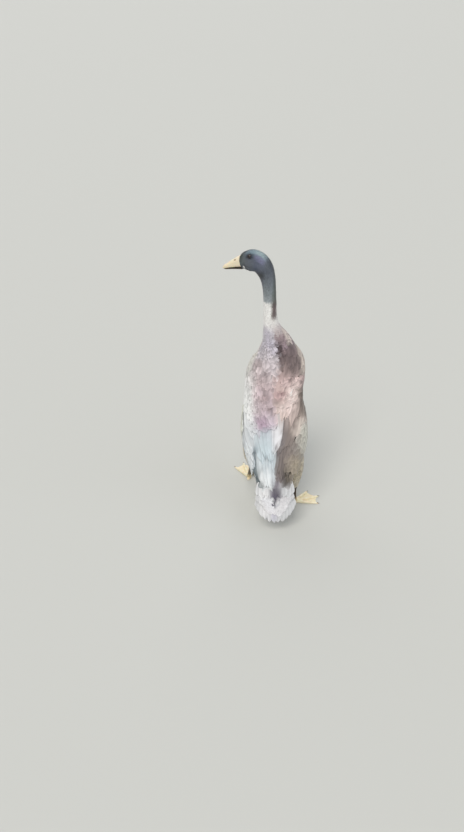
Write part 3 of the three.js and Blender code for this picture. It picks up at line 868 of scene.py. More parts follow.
    def colour(self, body: Body, s: Array, around: Array) -> Array:
        """The plumage colour at places on the body.

        The left and right bands blend over the middle of the back, and the front band takes over where
        the surface faces the belly. Then the marks are laid on. Their edges wander by products of two
        sines of s and of the angle, and the blotches are such a product of lengths, which makes each
        about 10 mm across.

        Args:
            body: the body.
            s: lengths along it.
            around: angles round it.
        Returns:
            the colours.
        """
        wander = self.ragged * np.sin(s * 0.21 + 2.3 * np.sin(around * 5)) * np.sin(around * 9 + s * 0.07)
        quiet = np.where(s > self.neck, self.neck_ragged, 1.0)
        wide, back = between(body.stations, s)[:2]
        across = around * (wide + back) / 2 + wander * quiet * self.ragged_across
        along = s + wander * quiet
        blotch = np.sin(s * 0.47 + 2 * np.sin(across * 0.23)) * np.sin(across * 0.52 + 2 * np.sin(s * 0.19))
        blotch = blotch * smooth(s, *self.blotches_in) * (1 - smooth(s, *self.blotches_out)) * self.blotched
        to_left = smooth(across, *self.seam)[..., None]
        to_back = smooth(np.cos(around), *self.turn_to_belly)[..., None]
        colour = self.band(self.right, along) * (1 - to_left) + self.band(self.left, along) * to_left
        colour = self.band(self.front, along) * (1 - to_back) + colour * to_back
        return self.laid(colour, self.marks, along, across, to_back) * (1 + blotch)[..., None]

    def on_tail(self, s: Array, t: Array) -> Array:
        """The colour on the tail's sheet, at lengths along it and to the left of its middle."""
        base = np.broadcast_to(linear(self.tail_base), np.shape(s) + (3,))
        return self.laid(base, self.tail, s, t, np.ones(np.shape(s) + (1,)))


# Feathers


@dataclass(frozen=True)
class Vane:
    """One kind of feather: pairs of a share of its length and of its width, and its section."""

    outline: tuple[tuple[float, float], ...]
    columns: int = 3
    thick: float = 0.3
    camber: float = 0.035  # drop of the edges, as a share of the width
    round_tip: float = 0.06  # how much sooner the edges end than the shaft, as a share of the length
    edge: float = 0.1  # how much paler the edges are
    core: float = 0.12  # how much darker the shaft is
    root: float = 0.1  # how much darker the root is
    shaft: float = 2.0  # power that sets how thin the shaft looks
    ragged: float = 0.02  # uneven tip, as a share of the length


TUFT = Vane(((0, 0.5), (0.55, 1), (1, 0.3)), thick=0.16, edge=0.06, core=0.05)
SMALL = Vane(((0, 0.4), (0.4, 0.95), (0.8, 0.9), (1, 0.35)), thick=0.22)
BODY = Vane(((0, 0.3), (0.3, 0.8), (0.62, 1), (0.88, 0.82), (1, 0.3)), thick=0.3, edge=0.2, core=0.2)
COVERT = Vane(
    ((0, 0.35), (0.25, 0.8), (0.55, 1), (0.8, 0.98), (0.93, 0.8), (1, 0.42)),
    columns=7, thick=0.2, camber=0.025, round_tip=0.08, edge=0.22, core=0.2, shaft=3.0,
)
FAN = Vane(
    ((0, 0.5), (0.2, 0.7), (0.35, 0.85), (0.48, 0.92), (0.6, 0.97), (0.7, 1), (0.8, 0.99), (0.88, 0.97),
     (0.96, 0.8), (0.99, 0.55), (1, 0.3)),
    columns=11, thick=0.25, camber=0.012, round_tip=0.05, edge=0.05, core=0.16, shaft=7.0, ragged=0.01,
)
QUILL = Vane(
    ((0, 0.35), (0.12, 0.6), (0.21, 0.75), (0.3, 0.88), (0.4, 0.95), (0.5, 1), (0.59, 1), (0.68, 0.98),
     (0.75, 0.94), (0.82, 0.88), (0.87, 0.8), (0.92, 0.7), (0.975, 0.46), (1, 0.2)),
    columns=9, thick=0.3, camber=0.018, round_tip=0.07, edge=0.08, core=0.24, shaft=6.0,
)


@dataclass
class Feathers:
    """Arrays with one value for each feather. s and t are its root's place on the surface it grows on."""

    s: Array
    t: Array
    length: Array
    width: Array
    swing: Array
    low: Array
    high: Array
    tone: Array
    patch: Array
    scale: tuple[Array, Array]
    lean: Array | float = 0.0


def grow(place: Place, feathers: Feathers, vane: Vane, rng: np.random.Generator, paint: Paint,
         painted: float, flip: bool = False, patch_size: float = 0.003) -> Piece:
    """Grows one closed vane for each feather, as a grid of rows along it by columns across it.

    A point lies at the root's place, moved back along the body by its share of the length and aside by
    its share of the width, both turned by the feather's swing. Its height rises from low to high over
    the length, less the camber at the edges, plus the lean across it. The upper and the under face
    share their rim and part by the thickness within it. A feather has one tone, mixed where it is
    painted with the marking under each of its points.

    Args:
        place: gives points from lengths along, places across and heights.
        feathers: their roots, sizes and tones.
        vane: their kind.
        rng: the random source of their uneven tips.
        paint: gives the marking under a place.
        painted: how much of the marking shows in a feather, from 0 to 1.
        flip: whether the surface's places run the other way round, which turns the faces inside out.
        patch_size: the part of the UV square that a feather takes.
    Returns:
        all of the feathers in one piece.
    """
    share, width = np.array(vane.outline).T
    x = np.linspace(-1, 1, vane.columns)
    rows, columns, count = len(share), vane.columns, len(feathers.s)

    def each(values: Array | float) -> Array:
        """One value for each feather, ready to meet its grid."""
        return np.broadcast_to(np.asarray(values, float), (count,))[:, None, None]

    uneven = 1 + vane.ragged * rng.standard_normal((count, 1, columns)) * share[None, :, None] ** 3
    along = each(feathers.length) * share[None, :, None] * (1 - vane.round_tip * x**2) * uneven
    across = 0.5 * each(feathers.width) * width[None, :, None] * x
    swing = np.radians(each(feathers.swing))
    back = along * np.cos(swing) - across * np.sin(swing)
    aside = along * np.sin(swing) + across * np.cos(swing)
    s = each(feathers.s) - back / each(feathers.scale[0])
    t = each(feathers.t) + aside / each(feathers.scale[1])
    risen = smooth(share, -0.35, 1.0)[None, :, None]
    height = (each(feathers.low) + (each(feathers.high) - each(feathers.low)) * risen
              - vane.camber * each(feathers.width) * width[None, :, None] * x**2
              + each(feathers.lean) * across)
    half = vane.thick / 2 * (1 - 0.5 * share[None, :, None]) * (1 + 0.5 * (1 - np.abs(x)))
    inner = np.zeros((rows, columns), bool)
    inner[1:-1, 1:-1] = True
    upper = place(s, t, height + half * inner)
    under = place(s, t, height - half * inner)
    points = np.concatenate([upper.reshape(count, -1, 3), under[:, inner]], 1)
    number = numbers(rows, columns)
    below = number.copy()
    below[inner] = rows * columns + np.arange(inner.sum())
    faces = np.concatenate([cells(number), cells(below)[:, ::-1]])
    if flip:
        faces = faces[:, ::-1]
    starts = np.arange(count) * points.shape[1]
    faces = (faces[None] + starts[:, None, None]).reshape(-1, 4)

    def spread(grid: Array) -> Array:
        """The same values for the upper points and the under ones."""
        grid = np.broadcast_to(grid, (count, rows, columns) + grid.shape[3:])
        return np.concatenate([grid.reshape((count, -1) + grid.shape[3:]), grid[:, inner]], 1)

    shade = (1 + vane.edge * (0.5 * x[None, :] ** 2 + share[:, None] ** 6)
             - vane.core * (1 - np.abs(x[None, :])) ** vane.shaft - vane.root * (1 - share[:, None]))
    tone = feathers.tone[:, None, None, :]
    if painted:
        tone = tone * (1 - painted) + paint(s, t) * painted
    tone = tone * shade[None, :, :, None]
    lay = np.stack([np.broadcast_to(across, (count, rows, columns)),
                    np.broadcast_to(along, (count, rows, columns)), np.zeros((count, rows, columns))], -1)
    offset = np.stack(np.broadcast_arrays(x[None, :] / 2, share[:, None] - 0.5), -1) * patch_size
    patch = feathers.patch[:, None, None, :] + offset[None]
    rim = np.concatenate([~inner.reshape(-1), np.zeros(inner.sum(), bool)])
    return Piece(points.reshape(-1, 3), [faces], np.clip(spread(tone).reshape(-1, 3), 0, 1),
                 spread(lay).reshape(-1, 3), spread(patch).reshape(-1, 2), np.tile(rim, count))


@dataclass(frozen=True)
class Tract:
    """An area of small feathers in staggered rows. Each pair is a value at its low and its high s."""

    name: str
    vane: Vane
    s: tuple[float, float]
    gap: tuple[float, float]  # mm between roots
    length: tuple[float, float]
    width: tuple[float, float]
    low: tuple[float, float]  # height of the roots
    high: tuple[float, float]  # height of the tips
    spread: float = 5.0  # degrees that they vary in direction
    tone: float = 0.05  # how much they vary in lightness
    upward: float = 0.0  # degrees that they turn towards the middle of the back
    seed: int = 1
    painted: float = 0.0  # how much of the markings shows within a feather
    over_wings: bool = False
    kind: Kind = Kind.SOFT
    slot: str = "mauve_plumage"
    row_gap: float = 0.9  # from one row to the next, as a share of the gap between roots
    shown: float = 0.7  # share of the length at which the marking gives a feather its tone

    def roots(self, form: Form, rng: np.random.Generator) -> tuple[Array, Array]:
        """Roots in staggered rings, evenly spaced by length round each ring.

        Args:
            form: what they grow on.
            rng: the random source.
        Returns:
            their s and their angles.
        """
        angles = np.linspace(-np.pi, np.pi, 97)
        rows, s = [], self.s[0]
        while s < self.s[1]:
            gap = np.interp(s, self.s, self.gap)
            ring = form.surface(np.full(len(angles), s), angles)
            walked = np.concatenate([[0], np.cumsum(np.linalg.norm(np.diff(ring, axis=0), axis=1))])
            count = max(6, int(walked[-1] / gap))
            at = (np.arange(count) + 0.5 * (len(rows) % 2) + rng.uniform(-0.3, 0.3, count)) / count
            around = np.interp((at % 1) * walked[-1], walked, angles)
            rows.append((s + rng.uniform(-0.35, 0.35, count) * gap, around))
            s += gap * self.row_gap
        return np.concatenate([r[0] for r in rows]), np.concatenate([r[1] for r in rows])

    def feathers(self, form: Form, colour: Paint, keep: Paint) -> tuple[Feathers, np.random.Generator]:
        """Works out every feather of the tract.

        Args:
            form: what they grow on.
            colour: gives the marking's colour at places on the form.
            keep: gives which places carry a feather.
        Returns:
            the feathers and the random source, for the rest of their making.
        """
        rng = np.random.default_rng(self.seed)
        s, around = self.roots(form, rng)
        kept = keep(s, around)
        s, around = s[kept], around[kept]

        def at(pair: tuple[float, float]) -> Array:
            """A pair's value at each feather's s."""
            return np.interp(s, self.s, pair)

        length = at(self.length) * rng.uniform(0.88, 1.12, len(s))
        scale = form.scale(s, around)
        shown = colour(s - self.shown * length / scale[0], around)
        tone = shown * (1 + self.tone * rng.standard_normal(len(s)))[:, None]
        return Feathers(
            s, around, length, at(self.width) * rng.uniform(0.92, 1.08, len(s)),
            rng.normal(0, self.spread, len(s)) - self.upward * np.sign(around), at(self.low),
            at(self.high) + rng.uniform(-0.25, 0.25, len(s)) * np.abs(at(self.high) - at(self.low)) * 0.4,
            tone, np.stack([around / (2 * np.pi) + 0.5, s / 700], -1), scale), rng


@dataclass(frozen=True)
class Tier:
    """One row of large feathers. Each pair is a value for its inner and for its outer feather."""

    vane: Vane
    count: int
    s: tuple[float, float]
    t: tuple[float, float]
    length: tuple[float, float]
    swing: tuple[float, float]
    low: float
    high: float
    overlap: float = 0.4
    step: float = 0.8  # mm from one feather up to the next inner one
    stagger: float = 2.5  # mm that the tips wander
    vary: float = 0.06  # how much they vary in lightness
    shown: float = 0.75  # share of the length at which the marking gives a feather its tone

    def feathers(self, rng: np.random.Generator, colour: Paint) -> Feathers:
        """Works out the row's feathers, each leaning so that the next inner one lies over it.

        Args:
            rng: the random source.
            colour: gives the marking's colour at lengths along and over the back.
        Returns:
            the feathers.
        """
        share = np.linspace(0, 1, self.count)

        def at(pair: tuple[float, float], power: float = 1.0) -> Array:
            """Each feather's value between a pair."""
            return pair[0] + (pair[1] - pair[0]) * share**power

        chance = rng.uniform(-1, 1, (4, self.count))
        s, t = at(self.s) + 0.5 * self.stagger * chance[0], at(self.t)
        length, swing = at(self.length, 1.8) + self.stagger * chance[1], at(self.swing) + 0.8 * chance[2]
        tips = t + length * np.sin(np.radians(swing))
        pitch = (abs(self.t[1] - self.t[0]) / (self.count - 1), abs(tips[-1] - tips[0]) / (self.count - 1))
        width = np.full(self.count, max(pitch) / (1 - self.overlap))
        shown = colour(s - self.shown * length, t + self.shown * length * np.sin(np.radians(swing)))
        tone = shown * (1 + self.vary * chance[3])[:, None]
        ones = np.ones(self.count)
        return Feathers(s, t, length, width, swing, self.low * ones, self.high * ones, tone,
                        np.stack([t / 130 + 0.5, s / 400], -1), (ones, ones), self.step / np.mean(pitch))


@dataclass(frozen=True)
class Coverts:
    """Rows of coverts up a wing, smaller towards the shoulder.

    Each pair is a value in the lowest rows and what is added to it by the top.
    """

    start: float  # s of the lowest row's roots
    end: float = 393.0
    row_gap: float = 8.2
    shrinking: tuple[float, float] = (286.0, 106.0)  # s where they start to get smaller, and for how long
    pitch: tuple[float, float] = (10.5, -2.9)
    first: tuple[float, float] = (7, 20)  # t of the inner feather
    last: tuple[float, float] = (93, -21)  # t of the outer feather where nothing lies beside the row
    inner_length: tuple[float, float] = (58, -34)
    outer_length: tuple[float, float] = (46, -24)
    outer_swing: tuple[float, float] = (-12, 10)
    inner_swing: float = -2
    drop: float = 14  # mm that the outer root is lower than the inner one
    meeting: tuple[float, float] = (300, 326)  # s over which the rows come to reach past the outer feathers

    def row(self, s: float, shift: int, beside: float) -> Tier:
        """One row: it is shorter, closer and narrower the nearer it is to the shoulder.

        Args:
            s: where its inner feather has its root.
            shift: the way that it moves by a quarter of its pitch, so that rows are staggered.
            beside: t where it ends as long as the outer feathers lie beside it.
        Returns:
            the row.
        """
        share = float(np.clip((s - self.shrinking[0]) / self.shrinking[1], 0, 1))

        def at(pair: tuple[float, float]) -> float:
            """A pair's value in this row."""
            return pair[0] + pair[1] * share

        pitch, inner = at(self.pitch), at(self.first)
        end = beside + (at(self.last) - beside) * float(smooth(s, *self.meeting))
        move = shift * pitch / 4
        return Tier(COVERT, max(2, int((end - inner) / pitch) + 1), (s, s - self.drop),
                    (inner + move, end + move), (at(self.inner_length), at(self.outer_length)),
                    (self.inner_swing, at(self.outer_swing)), 1.0, 3.5,
                    overlap=0.5, step=0.5, stagger=5.0, vary=0.33)

    def rows(self, beside: float) -> list[Tier]:
        """All the rows from the lowest up."""
        return [self.row(float(s), 1 if k % 2 else -1, beside)
                for k, s in enumerate(np.arange(self.start, self.end, self.row_gap))]


@dataclass(frozen=True)
class Wing:
    """A folded wing on the side of the back: flight feathers, inner feathers, and rows of coverts."""

    name: str
    slot: str
    node: str
    side: int
    lift: float  # mm that the whole wing lies further along the body
    flight: Tier
    inner: Tier
    outer: Tier
    coverts: Coverts
    seed: int
    bulge: float  # mm more that it stands out near its outer edge
    thick: float = 3.4
    beside: float = 4.0  # mm from the outer feathers' first root to the coverts beside them
    painted: float = 0.6
    patch_size: float = 0.02

    def swell(self, s: Array, t: Array) -> Array:
        """How far the folded wing stands off the back: most in its middle, least at its edges.

        The thickness rises from three tenths at the inner edge, and falls to a tenth at the outer edge
        and a twentieth at the shoulder. The bulge comes in beside the back, goes out round the flank and
        at the shoulder, and is two thirds as high at the wing's tip.

        Args:
            s: lengths along the wing.
            t: lengths over the back.
        Returns:
            the heights.
        """
        inner = 0.3 + 0.7 * smooth(t, 2, 24)
        outer = 1 - 0.9 * smooth(t, 60, 94)
        shoulder = 1 - 0.95 * smooth(s, 320, 385)
        side = smooth(t, 38, 74) * (1 - smooth(t, 102, 126)) * (1 - smooth(s, 345, 396))
        return self.thick * inner * outer * shoulder + self.bulge * side * (0.65 + 0.35 * smooth(s, 190, 240))

    def piece(self, body: Body, markings: Markings) -> Piece:
        """Grows the rows from the flight feathers up to the smallest coverts of the shoulder.

        Args:
            body: what the wing is folded on.
            markings: its colours.
        Returns:
            the wing's feathers.
        """
        rng = np.random.default_rng(self.seed)

        def on_body(s: Array, t: Array) -> tuple[Array, Array]:
            """The body's s and angle at lengths along the wing and over the back."""
            return s + self.lift, self.side * body.around_at(s + self.lift, t)

        def place(s: Array, t: Array, height: Array) -> Array:
            """Points at a height over the wing's swell."""
            return body.raised(*on_body(s, t), height + self.swell(s, t))

        def colour(s: Array, t: Array) -> Array:
            """The marking at a place on the wing."""
            return markings.colour(body, *on_body(s, t))

        tiers = (self.flight, self.inner, self.outer, *self.coverts.rows(self.outer.t[0] + self.beside))
        return Piece.joined([grow(place, tier.feathers(rng, colour), tier.vane, rng, colour, self.painted,
                                  self.side < 0, self.patch_size) for tier in tiers])


LEFT_WING = Wing(
    "left_wing_feathers", "pale_plumage", "wing_left", side=1, lift=-8,
    flight=Tier(QUILL, 7, (205, 190), (7, 60), (120, 88), (-1, -16), 0, 0.3, stagger=5.0, vary=0.08),
    inner=Tier(QUILL, 7, (262, 244), (7, 88), (126, 84), (-1, -21), 0.2, 1.2, stagger=9.0, vary=0.1),
    outer=Tier(QUILL, 6, (330, 300), (50, 86), (134, 104), (-7, -17), 1.4, 1.9, stagger=12.0, vary=0.08),
    coverts=Coverts(268), seed=17, bulge=1.5,
)
RIGHT_WING = Wing(
    "right_wing_feathers", "mauve_plumage", "wing_right", side=-1, lift=14,
    flight=Tier(QUILL, 6, (205, 190), (3, 38), (113, 110), (-4, -8), 0.5, 1.0, stagger=5.0, vary=0.1),
    inner=Tier(QUILL, 6, (262, 244), (1, 66), (137, 84), (-2.5, -18), 0.8, 1.9, stagger=5.0, vary=0.12),
    outer=Tier(QUILL, 8, (336, 298), (24, 93), (122, 92), (-4, -16), 1.5, 2.1, stagger=12.0, vary=0.12),
    coverts=Coverts(302), seed=67, bulge=6.5,
)


@dataclass(frozen=True)
class Tail:
    """The tail fan on a sheet along the back line that droops to its sides, with coverts over it."""

    arch: float = 0.0035  # mm of droop for each square mm of distance from the middle
    rows: tuple[Tier, ...] = (
        Tier(FAN, 6, (76, 73), (2.5, 26), (75, 42), (1, 24), -8.6, -8.4, step=0.75, overlap=0.55,
             stagger=1.0, vary=0.04),
        Tier(FAN, 5, (88, 85), (2.0, 27), (54, 38), (0, 16), -6, -5.6, step=0.6, overlap=0.5,
             stagger=3.0, vary=0.04),
        Tier(COVERT, 5, (106, 100), (2.0, 31), (50, 38), (0, 10), -3.2, -2.6, step=0.6, overlap=0.5,
             stagger=3.0, vary=0.04),
    )
    seed: int = 37
    painted: float = 0.85
    patch_size: float = 0.02

    def half(self, body: Body, markings: Markings, side: int) -> list[Piece]:
        """Grows the rows of one side.

        Args:
            body: gives the line of the back.
            markings: the colours.
            side: 1 for the left and -1 for the right.
        Returns:
            a piece for each row.
        """
        rng = np.random.default_rng(self.seed + side)

        def place(s: Array, t: Array, height: Array) -> Array:
            """Points at a height over the drooping sheet."""
            return np.concatenate([side * t[..., None], body.back_line(s, self.arch * t * t - height)], -1)

        def colour(s: Array, t: Array) -> Array:
            """The marking at a place on the sheet."""
            return markings.on_tail(s, side * t)

        return [grow(place, tier.feathers(rng, colour), tier.vane, rng, colour, self.painted, side < 0,
                     self.patch_size) for tier in self.rows]

    def piece(self, body: Body, markings: Markings) -> Piece:
        """Grows the fan on both sides."""
        return Piece.joined(self.half(body, markings, 1) + self.half(body, markings, -1))


# Skin, head, bill and legs


@dataclass(frozen=True)
class Skin:
    """The one skin under the coat, from the tail's core to the bill's root, with both thighs."""

    depths: tuple[tuple[float, float], ...] = ((36, 2.2), (120, 3.0), (390, 3.0), (450, 1.7), (560, 1.3),
                                               (600, 0.8), (664, 0.7))
    ends: tuple[float, float] = (38.0, 664.0)
    sides: int = 64
    spacing: float = 3.0
    thigh_depth: float = 2.4
    thigh_levels: tuple[float, float, int] = (1.0, 113.0, 40)  # first s, last s and number of rings
    # painted shade: the skin keeps this share of the markings' lightness, so it is darker where it shows
    # between the feathers
    shade: float = 0.8  # how light it is against the feathers over it

    def depth(self, s: Array) -> Array:
        """How deep the skin lies under the coat's surface at s."""
        return np.interp(s, *np.array(self.depths).T)

    def core(self, body: Body, bill: "Bill") -> Piece:
        """The swept body below the coat, cut flat where the bill begins.

        Args:
            body: the form that is swept.
            bill: what it ends at.
        Returns:
            the tube.
        """
        s = np.arange(*self.ends, self.spacing)[:, None]
        around = circle(self.sides)
        rings = body.raised(s, around, -self.depth(s) + 0 * around)
        past = np.maximum((rings - bill.root) @ bill.turn[:, 0], 0)
        return closed_tube(rings - past[..., None] * bill.turn[:, 0], np.ones(3))

    def thigh(self, form: Thigh) -> Piece:
        """A thigh below its feathers.

        Args:
            form: the thigh's form.
        Returns:
            the tube.
        """
        around = circle(self.sides)[::2]
        level = np.linspace(*self.thigh_levels)[:, None]
        return closed_tube(form.raised(level, around, 0 * level - self.thigh_depth + 0 * around), np.ones(3))

    def join(self, whole: bpy.types.Object, tool: bpy.types.Object) -> None:
        """Adds one solid to another by a union, and removes the one that was added.

        Args:
            whole: what the other is added to.
            tool: what is added.
        """
        union = whole.modifiers.new("union", "BOOLEAN")
        union.operation, union.object, union.solver = "UNION", tool, "EXACT"
        united = bpy.data.meshes.new_from_object(whole.evaluated_get(bpy.context.evaluated_depsgraph_get()))
        whole.modifiers.clear()
        whole.data = united
        bpy.data.objects.remove(tool)

    def object(self, body: Body, thighs: list[Thigh], markings: Markings, bill: "Bill", origin: Array,
               material: bpy.types.Material) -> bpy.types.Object:
        """Joins the swept body and both thighs, then gives each point its marking's colour, darkened by the
        painted shade.

        Args:
            body: the swept form.
            thighs: the forms of both thighs.
            markings: the colours.
            bill: what the skin ends at.
            origin: where the duck's own origin is in the frame, in mm.
            material: its one material.
        Returns:
            the skin.
        """
        whole = make_object("skin", self.core(body, bill), origin, material)
        for thigh in thighs:
            self.join(whole, make_object("thigh", self.thigh(thigh), origin, material))
        mesh = whole.data
        for name in [a.name for a in mesh.attributes if a.name in ("Tint", "sharp_edge")]:
            mesh.attributes.remove(mesh.attributes[name])
        points = np.empty(len(mesh.vertices) * 3, np.float32)
        mesh.vertices.foreach_get("co", points)
        where = body.locate(points.reshape(-1, 3) / MM - origin)
        # the markings, darkened by the painted shade of the gaps between feathers
        tint(mesh, markings.colour(body, *where) * self.shade)
        mesh.shade_smooth()
        return whole


@dataclass(frozen=True)
class Eye:
    """An eye in its socket with a lid all round it, open wider along the head than up and down."""

    side: int
    s: float = 624.0
    around: float = 49.0
    radius: float = 5.2
    sunk: float = 3.3
    pupil: float = 23.0  # degrees from the middle
    iris: float = 50.0
    opening: tuple[float, float] = (50.0, 39.0)
    lid_edge: float = 74.0
    lid_grid: tuple[int, int] = (72, 14)  # places round the eye, and round the lid's own section
    lid_height: float = 0.42  # mm that the lid's middle is above the ball
    lid_thick: float = 0.36  # half its thickness in mm

    def axes(self, body: Body) -> tuple[Array, Array]:
        """Finds where the eye sits on the head.

        Args:
            body: the form with the head.
        Returns:
            the eye's middle, and its axes as columns: towards the bill, up the head, and outwards.
        """
        angle = np.radians(self.side * self.around)
        at = body.raised(self.s, angle, -self.sunk)
        out = unit(body.raised(self.s, angle, 0.0) - at)
        ahead = body.surface(self.s + 2, angle) - body.surface(self.s - 2, angle)
        ahead = unit(ahead - out * (ahead @ out))
        return at, np.stack([ahead, np.cross(out, ahead), out], 1)

    def ball(self, body: Body) -> Piece:
        """The eyeball: rings at equal angles from its outward axis, black, brown, then near black.

        Args:
            body: the form with the head.
        Returns:
            the ball.
        """
        at, axes = self.axes(body)
        local = polar(np.radians(np.linspace(2, 178, 60))[:, None], circle(48))
        piece = closed_tube(at + self.radius * local @ axes.T, np.zeros(3))
        away = np.degrees(np.arccos(np.clip(unit(piece.points - at) @ axes[:, 2], -1, 1)))
        iris = smooth(away, self.pupil - 1, self.pupil + 2) * (1 - smooth(away, self.iris - 6, self.iris))
        piece.colour = mix(linear("070605"), linear("2c1a10"), iris)
        return piece

    def lid(self, body: Body) -> Piece:
        """The lids: a flattened ring over the ball between the almond opening and the lid's edge.

        The opening's half angle goes from its height to its width by a cosine squared, and a cosine of
        three times the section's angle gives the lid its crease.

        Args:
            body: the form with the head.
        Returns:
            the ring.
        """
        at, axes = self.axes(body)
        count, sides = self.lid_grid
        around, section = circle(count)[:, None], circle(sides)
        wide, high = self.opening
        inner = high + (wide - high) * np.cos(around) ** 2
        angle = np.radians((inner + self.lid_edge) / 2 - (self.lid_edge - inner) / 2 * np.cos(section))
        crease = 0.14 * np.cos(3 * section)
        far = self.radius + self.lid_height + self.lid_thick * np.sin(section) + crease * 0.5 + 0 * around
        rings = at + (far[..., None] * polar(angle, around)) @ axes.T
        points = rings.reshape(-1, 3)
        faces = cells(looped(looped(numbers(count, sides), 0), 1))
        start = faces[:, 0]
        if faces_in(points, faces, points[start] - rings.mean(1)[start // sides]):
            faces = faces[:, ::-1]
        near = np.tile(0.5 + 0.5 * np.cos(section), count)
        return Piece(points, [faces], mix(linear("1f242c"), linear("3a3f48"), near))


@dataclass(frozen=True)
class Bill:
    """The bill, in its own frame: x along it, y to its left and z up, from the middle of its root.

    Its stations are the solids' own: distance along, half width, top and bottom.
    """

    root: Array
    head_turn: float = 57.0
    nod: float = 12.0
    upper: Stations = (
        (0.3, 12.5, 16.6, -8.9), (9.7, 11.7, 13.2, -9.1), (18.7, 11, 9.4, -9.4), (28.7, 11, 4.8, -9.9),
        (37.7, 11.7, 0.3, -10.4), (44.7, 11.4, -3.3, -10.8), (49.2, 9, -6, -11.1), (51.7, 4, -8.6, -11.3),
    )
    lower: Stations = (
        (0.3, 10, -9.5, -14.6), (11.7, 9.6, -9.7, -14.1), (23.7, 9.2, -10.1, -13.8),
        (34.7, 9.6, -10.6, -13.6), (43.7, 9.2, -11.1, -13.4), (48.7, 5.4, -11.7, -13.1),
    )
    underside: float = 0.55  # power of the upper bill's underside. 1 is round, and less is squarer
    nostril: tuple[float, float, float] = (13.5, 8.2, 7.9)
    nostril_slope: float = 0.25
    nostril_depth: float = 1.9
    nostril_rim: float = 0.35
    nail: tuple[float, float, float] = (48.7, 4.2, 3.9)  # its middle along, and its half sizes
    nail_height: float = 0.7
    nail_groove: float = 0.3

    @property
    def turn(self) -> Array:
        """How the bill's frame stands: a nod down, then the turn of the head.

        Returns:
            its axes as columns.
        """
        b = np.radians(self.nod)
        about_y = np.array([[np.cos(b), 0, np.sin(b)], [0, 1, 0], [-np.sin(b), 0, np.cos(b)]])
        return turned(self.head_turn - 90) @ about_y

    def rings(self, stations: Stations, count: int, sides: int, underside: float) -> Array:
        """Rings across the bill: ovals between top and bottom, closer together towards the tip.

        Args:
            stations: the sizes along it.
            count: how many rings.
            sides: places round a ring.
            underside: the power of its underside.
        Returns:
            the rings' points in the bill's frame.
        """
        first, last = stations[0][0], stations[-1][0]
        x = first + (last - first) * (1 - (1 - np.linspace(0, 1, count)) ** 1.5)
        wide, top, bottom = between(stations, x)
        angle = circle(sides, halfway=True)
        sin, cos = np.sin(angle), np.cos(angle)
        power = np.where(sin < 0, underside, 1.0)
        y = wide[:, None] * np.sign(cos) * np.abs(cos) ** power
        middle, half = (top + bottom) / 2, (top - bottom) / 2
        z = middle[:, None] + half[:, None] * np.sign(sin) * np.abs(sin) ** power
        return np.stack([np.broadcast_to(x[:, None], y.shape), y, z], -1)

    def upper_piece(self) -> Piece:
        """The upper bill: its ovals, less a hollow at each nostril, with a nail on its tip.

        A hollow is a flat-topped oval pressed in towards the ring's middle, with a wider one raised round
        it. The nail is a raised disc with a bell-shaped groove at its edge.

        Returns:
            the upper bill.
        """
        rings = self.rings(self.upper, 120, 72, self.underside)
        x, y, z = np.moveaxis(rings, -1, 0)
        middle = z.mean(1, keepdims=True)
        nx, ny, nz = self.nostril
        along, up = x - nx, z - nz - self.nostril_slope * (nx - x)
        aside = np.abs(y) > 3
        hollow, rim = spot(along / 2.9, up / 1.0) * aside, spot(along / 4.2, up / 1.9) * aside
        radial = unit(np.stack([0 * y, y, z - middle], -1))
        rings = rings + radial * (self.nostril_rim * (rim - hollow) - self.nostril_depth * hollow)[..., None]
        nail_at = np.hypot((x - self.nail[0]) / self.nail[1], y / self.nail[2])
        upward = (z > middle) * 1.0
        rings[..., 2] += upward * (self.nail_height * (1 - smooth(nail_at, 0.7, 1.0))
                                   - self.nail_groove * bell((nail_at - 1.12) / 0.12))
        colour = mix(linear("efe2c6"), linear("f1e6c6"), smooth(x, 6, 34))
        colour = mix(colour, linear("e6c49c"), bell((x - 40) / 9) * 0.2)  # pink blush before the nail
        colour = colour * (1 - 0.12 * bell(y / 3.0) * upward * (1 - smooth(x, 10, 40)))[..., None]
        colour = mix(colour, linear("c9a877"), upward * (1 - smooth(nail_at, 0.85, 1.05)) * 0.6)
        # painted shade: the nostril hollows are near black
        colour = mix(colour, linear("2a1d15"), hollow * 0.93)
        colour = mix(colour, linear("6e5a44"), (z < z.min(1, keepdims=True) + 0.9) * 0.35)
        return closed_tube(self.root + rings @ self.turn.T, colour)

    def lower_piece(self) -> Piece:
        """The lower bill: a trough under the upper one, in dark horn that is partly painted shade under the
        upper bill, with a pale tip.

        Returns:
            the lower bill.
        """
        rings = self.rings(self.lower, 70, 40, 1.0)
        # dark horn, partly painted shade under the upper bill, paling to the tip
        colour = mix(linear("3b3029"), linear("8e7a5c"), smooth(rings[..., 0], 30, 46))
        return closed_tube(self.root + rings @ self.turn.T, colour)


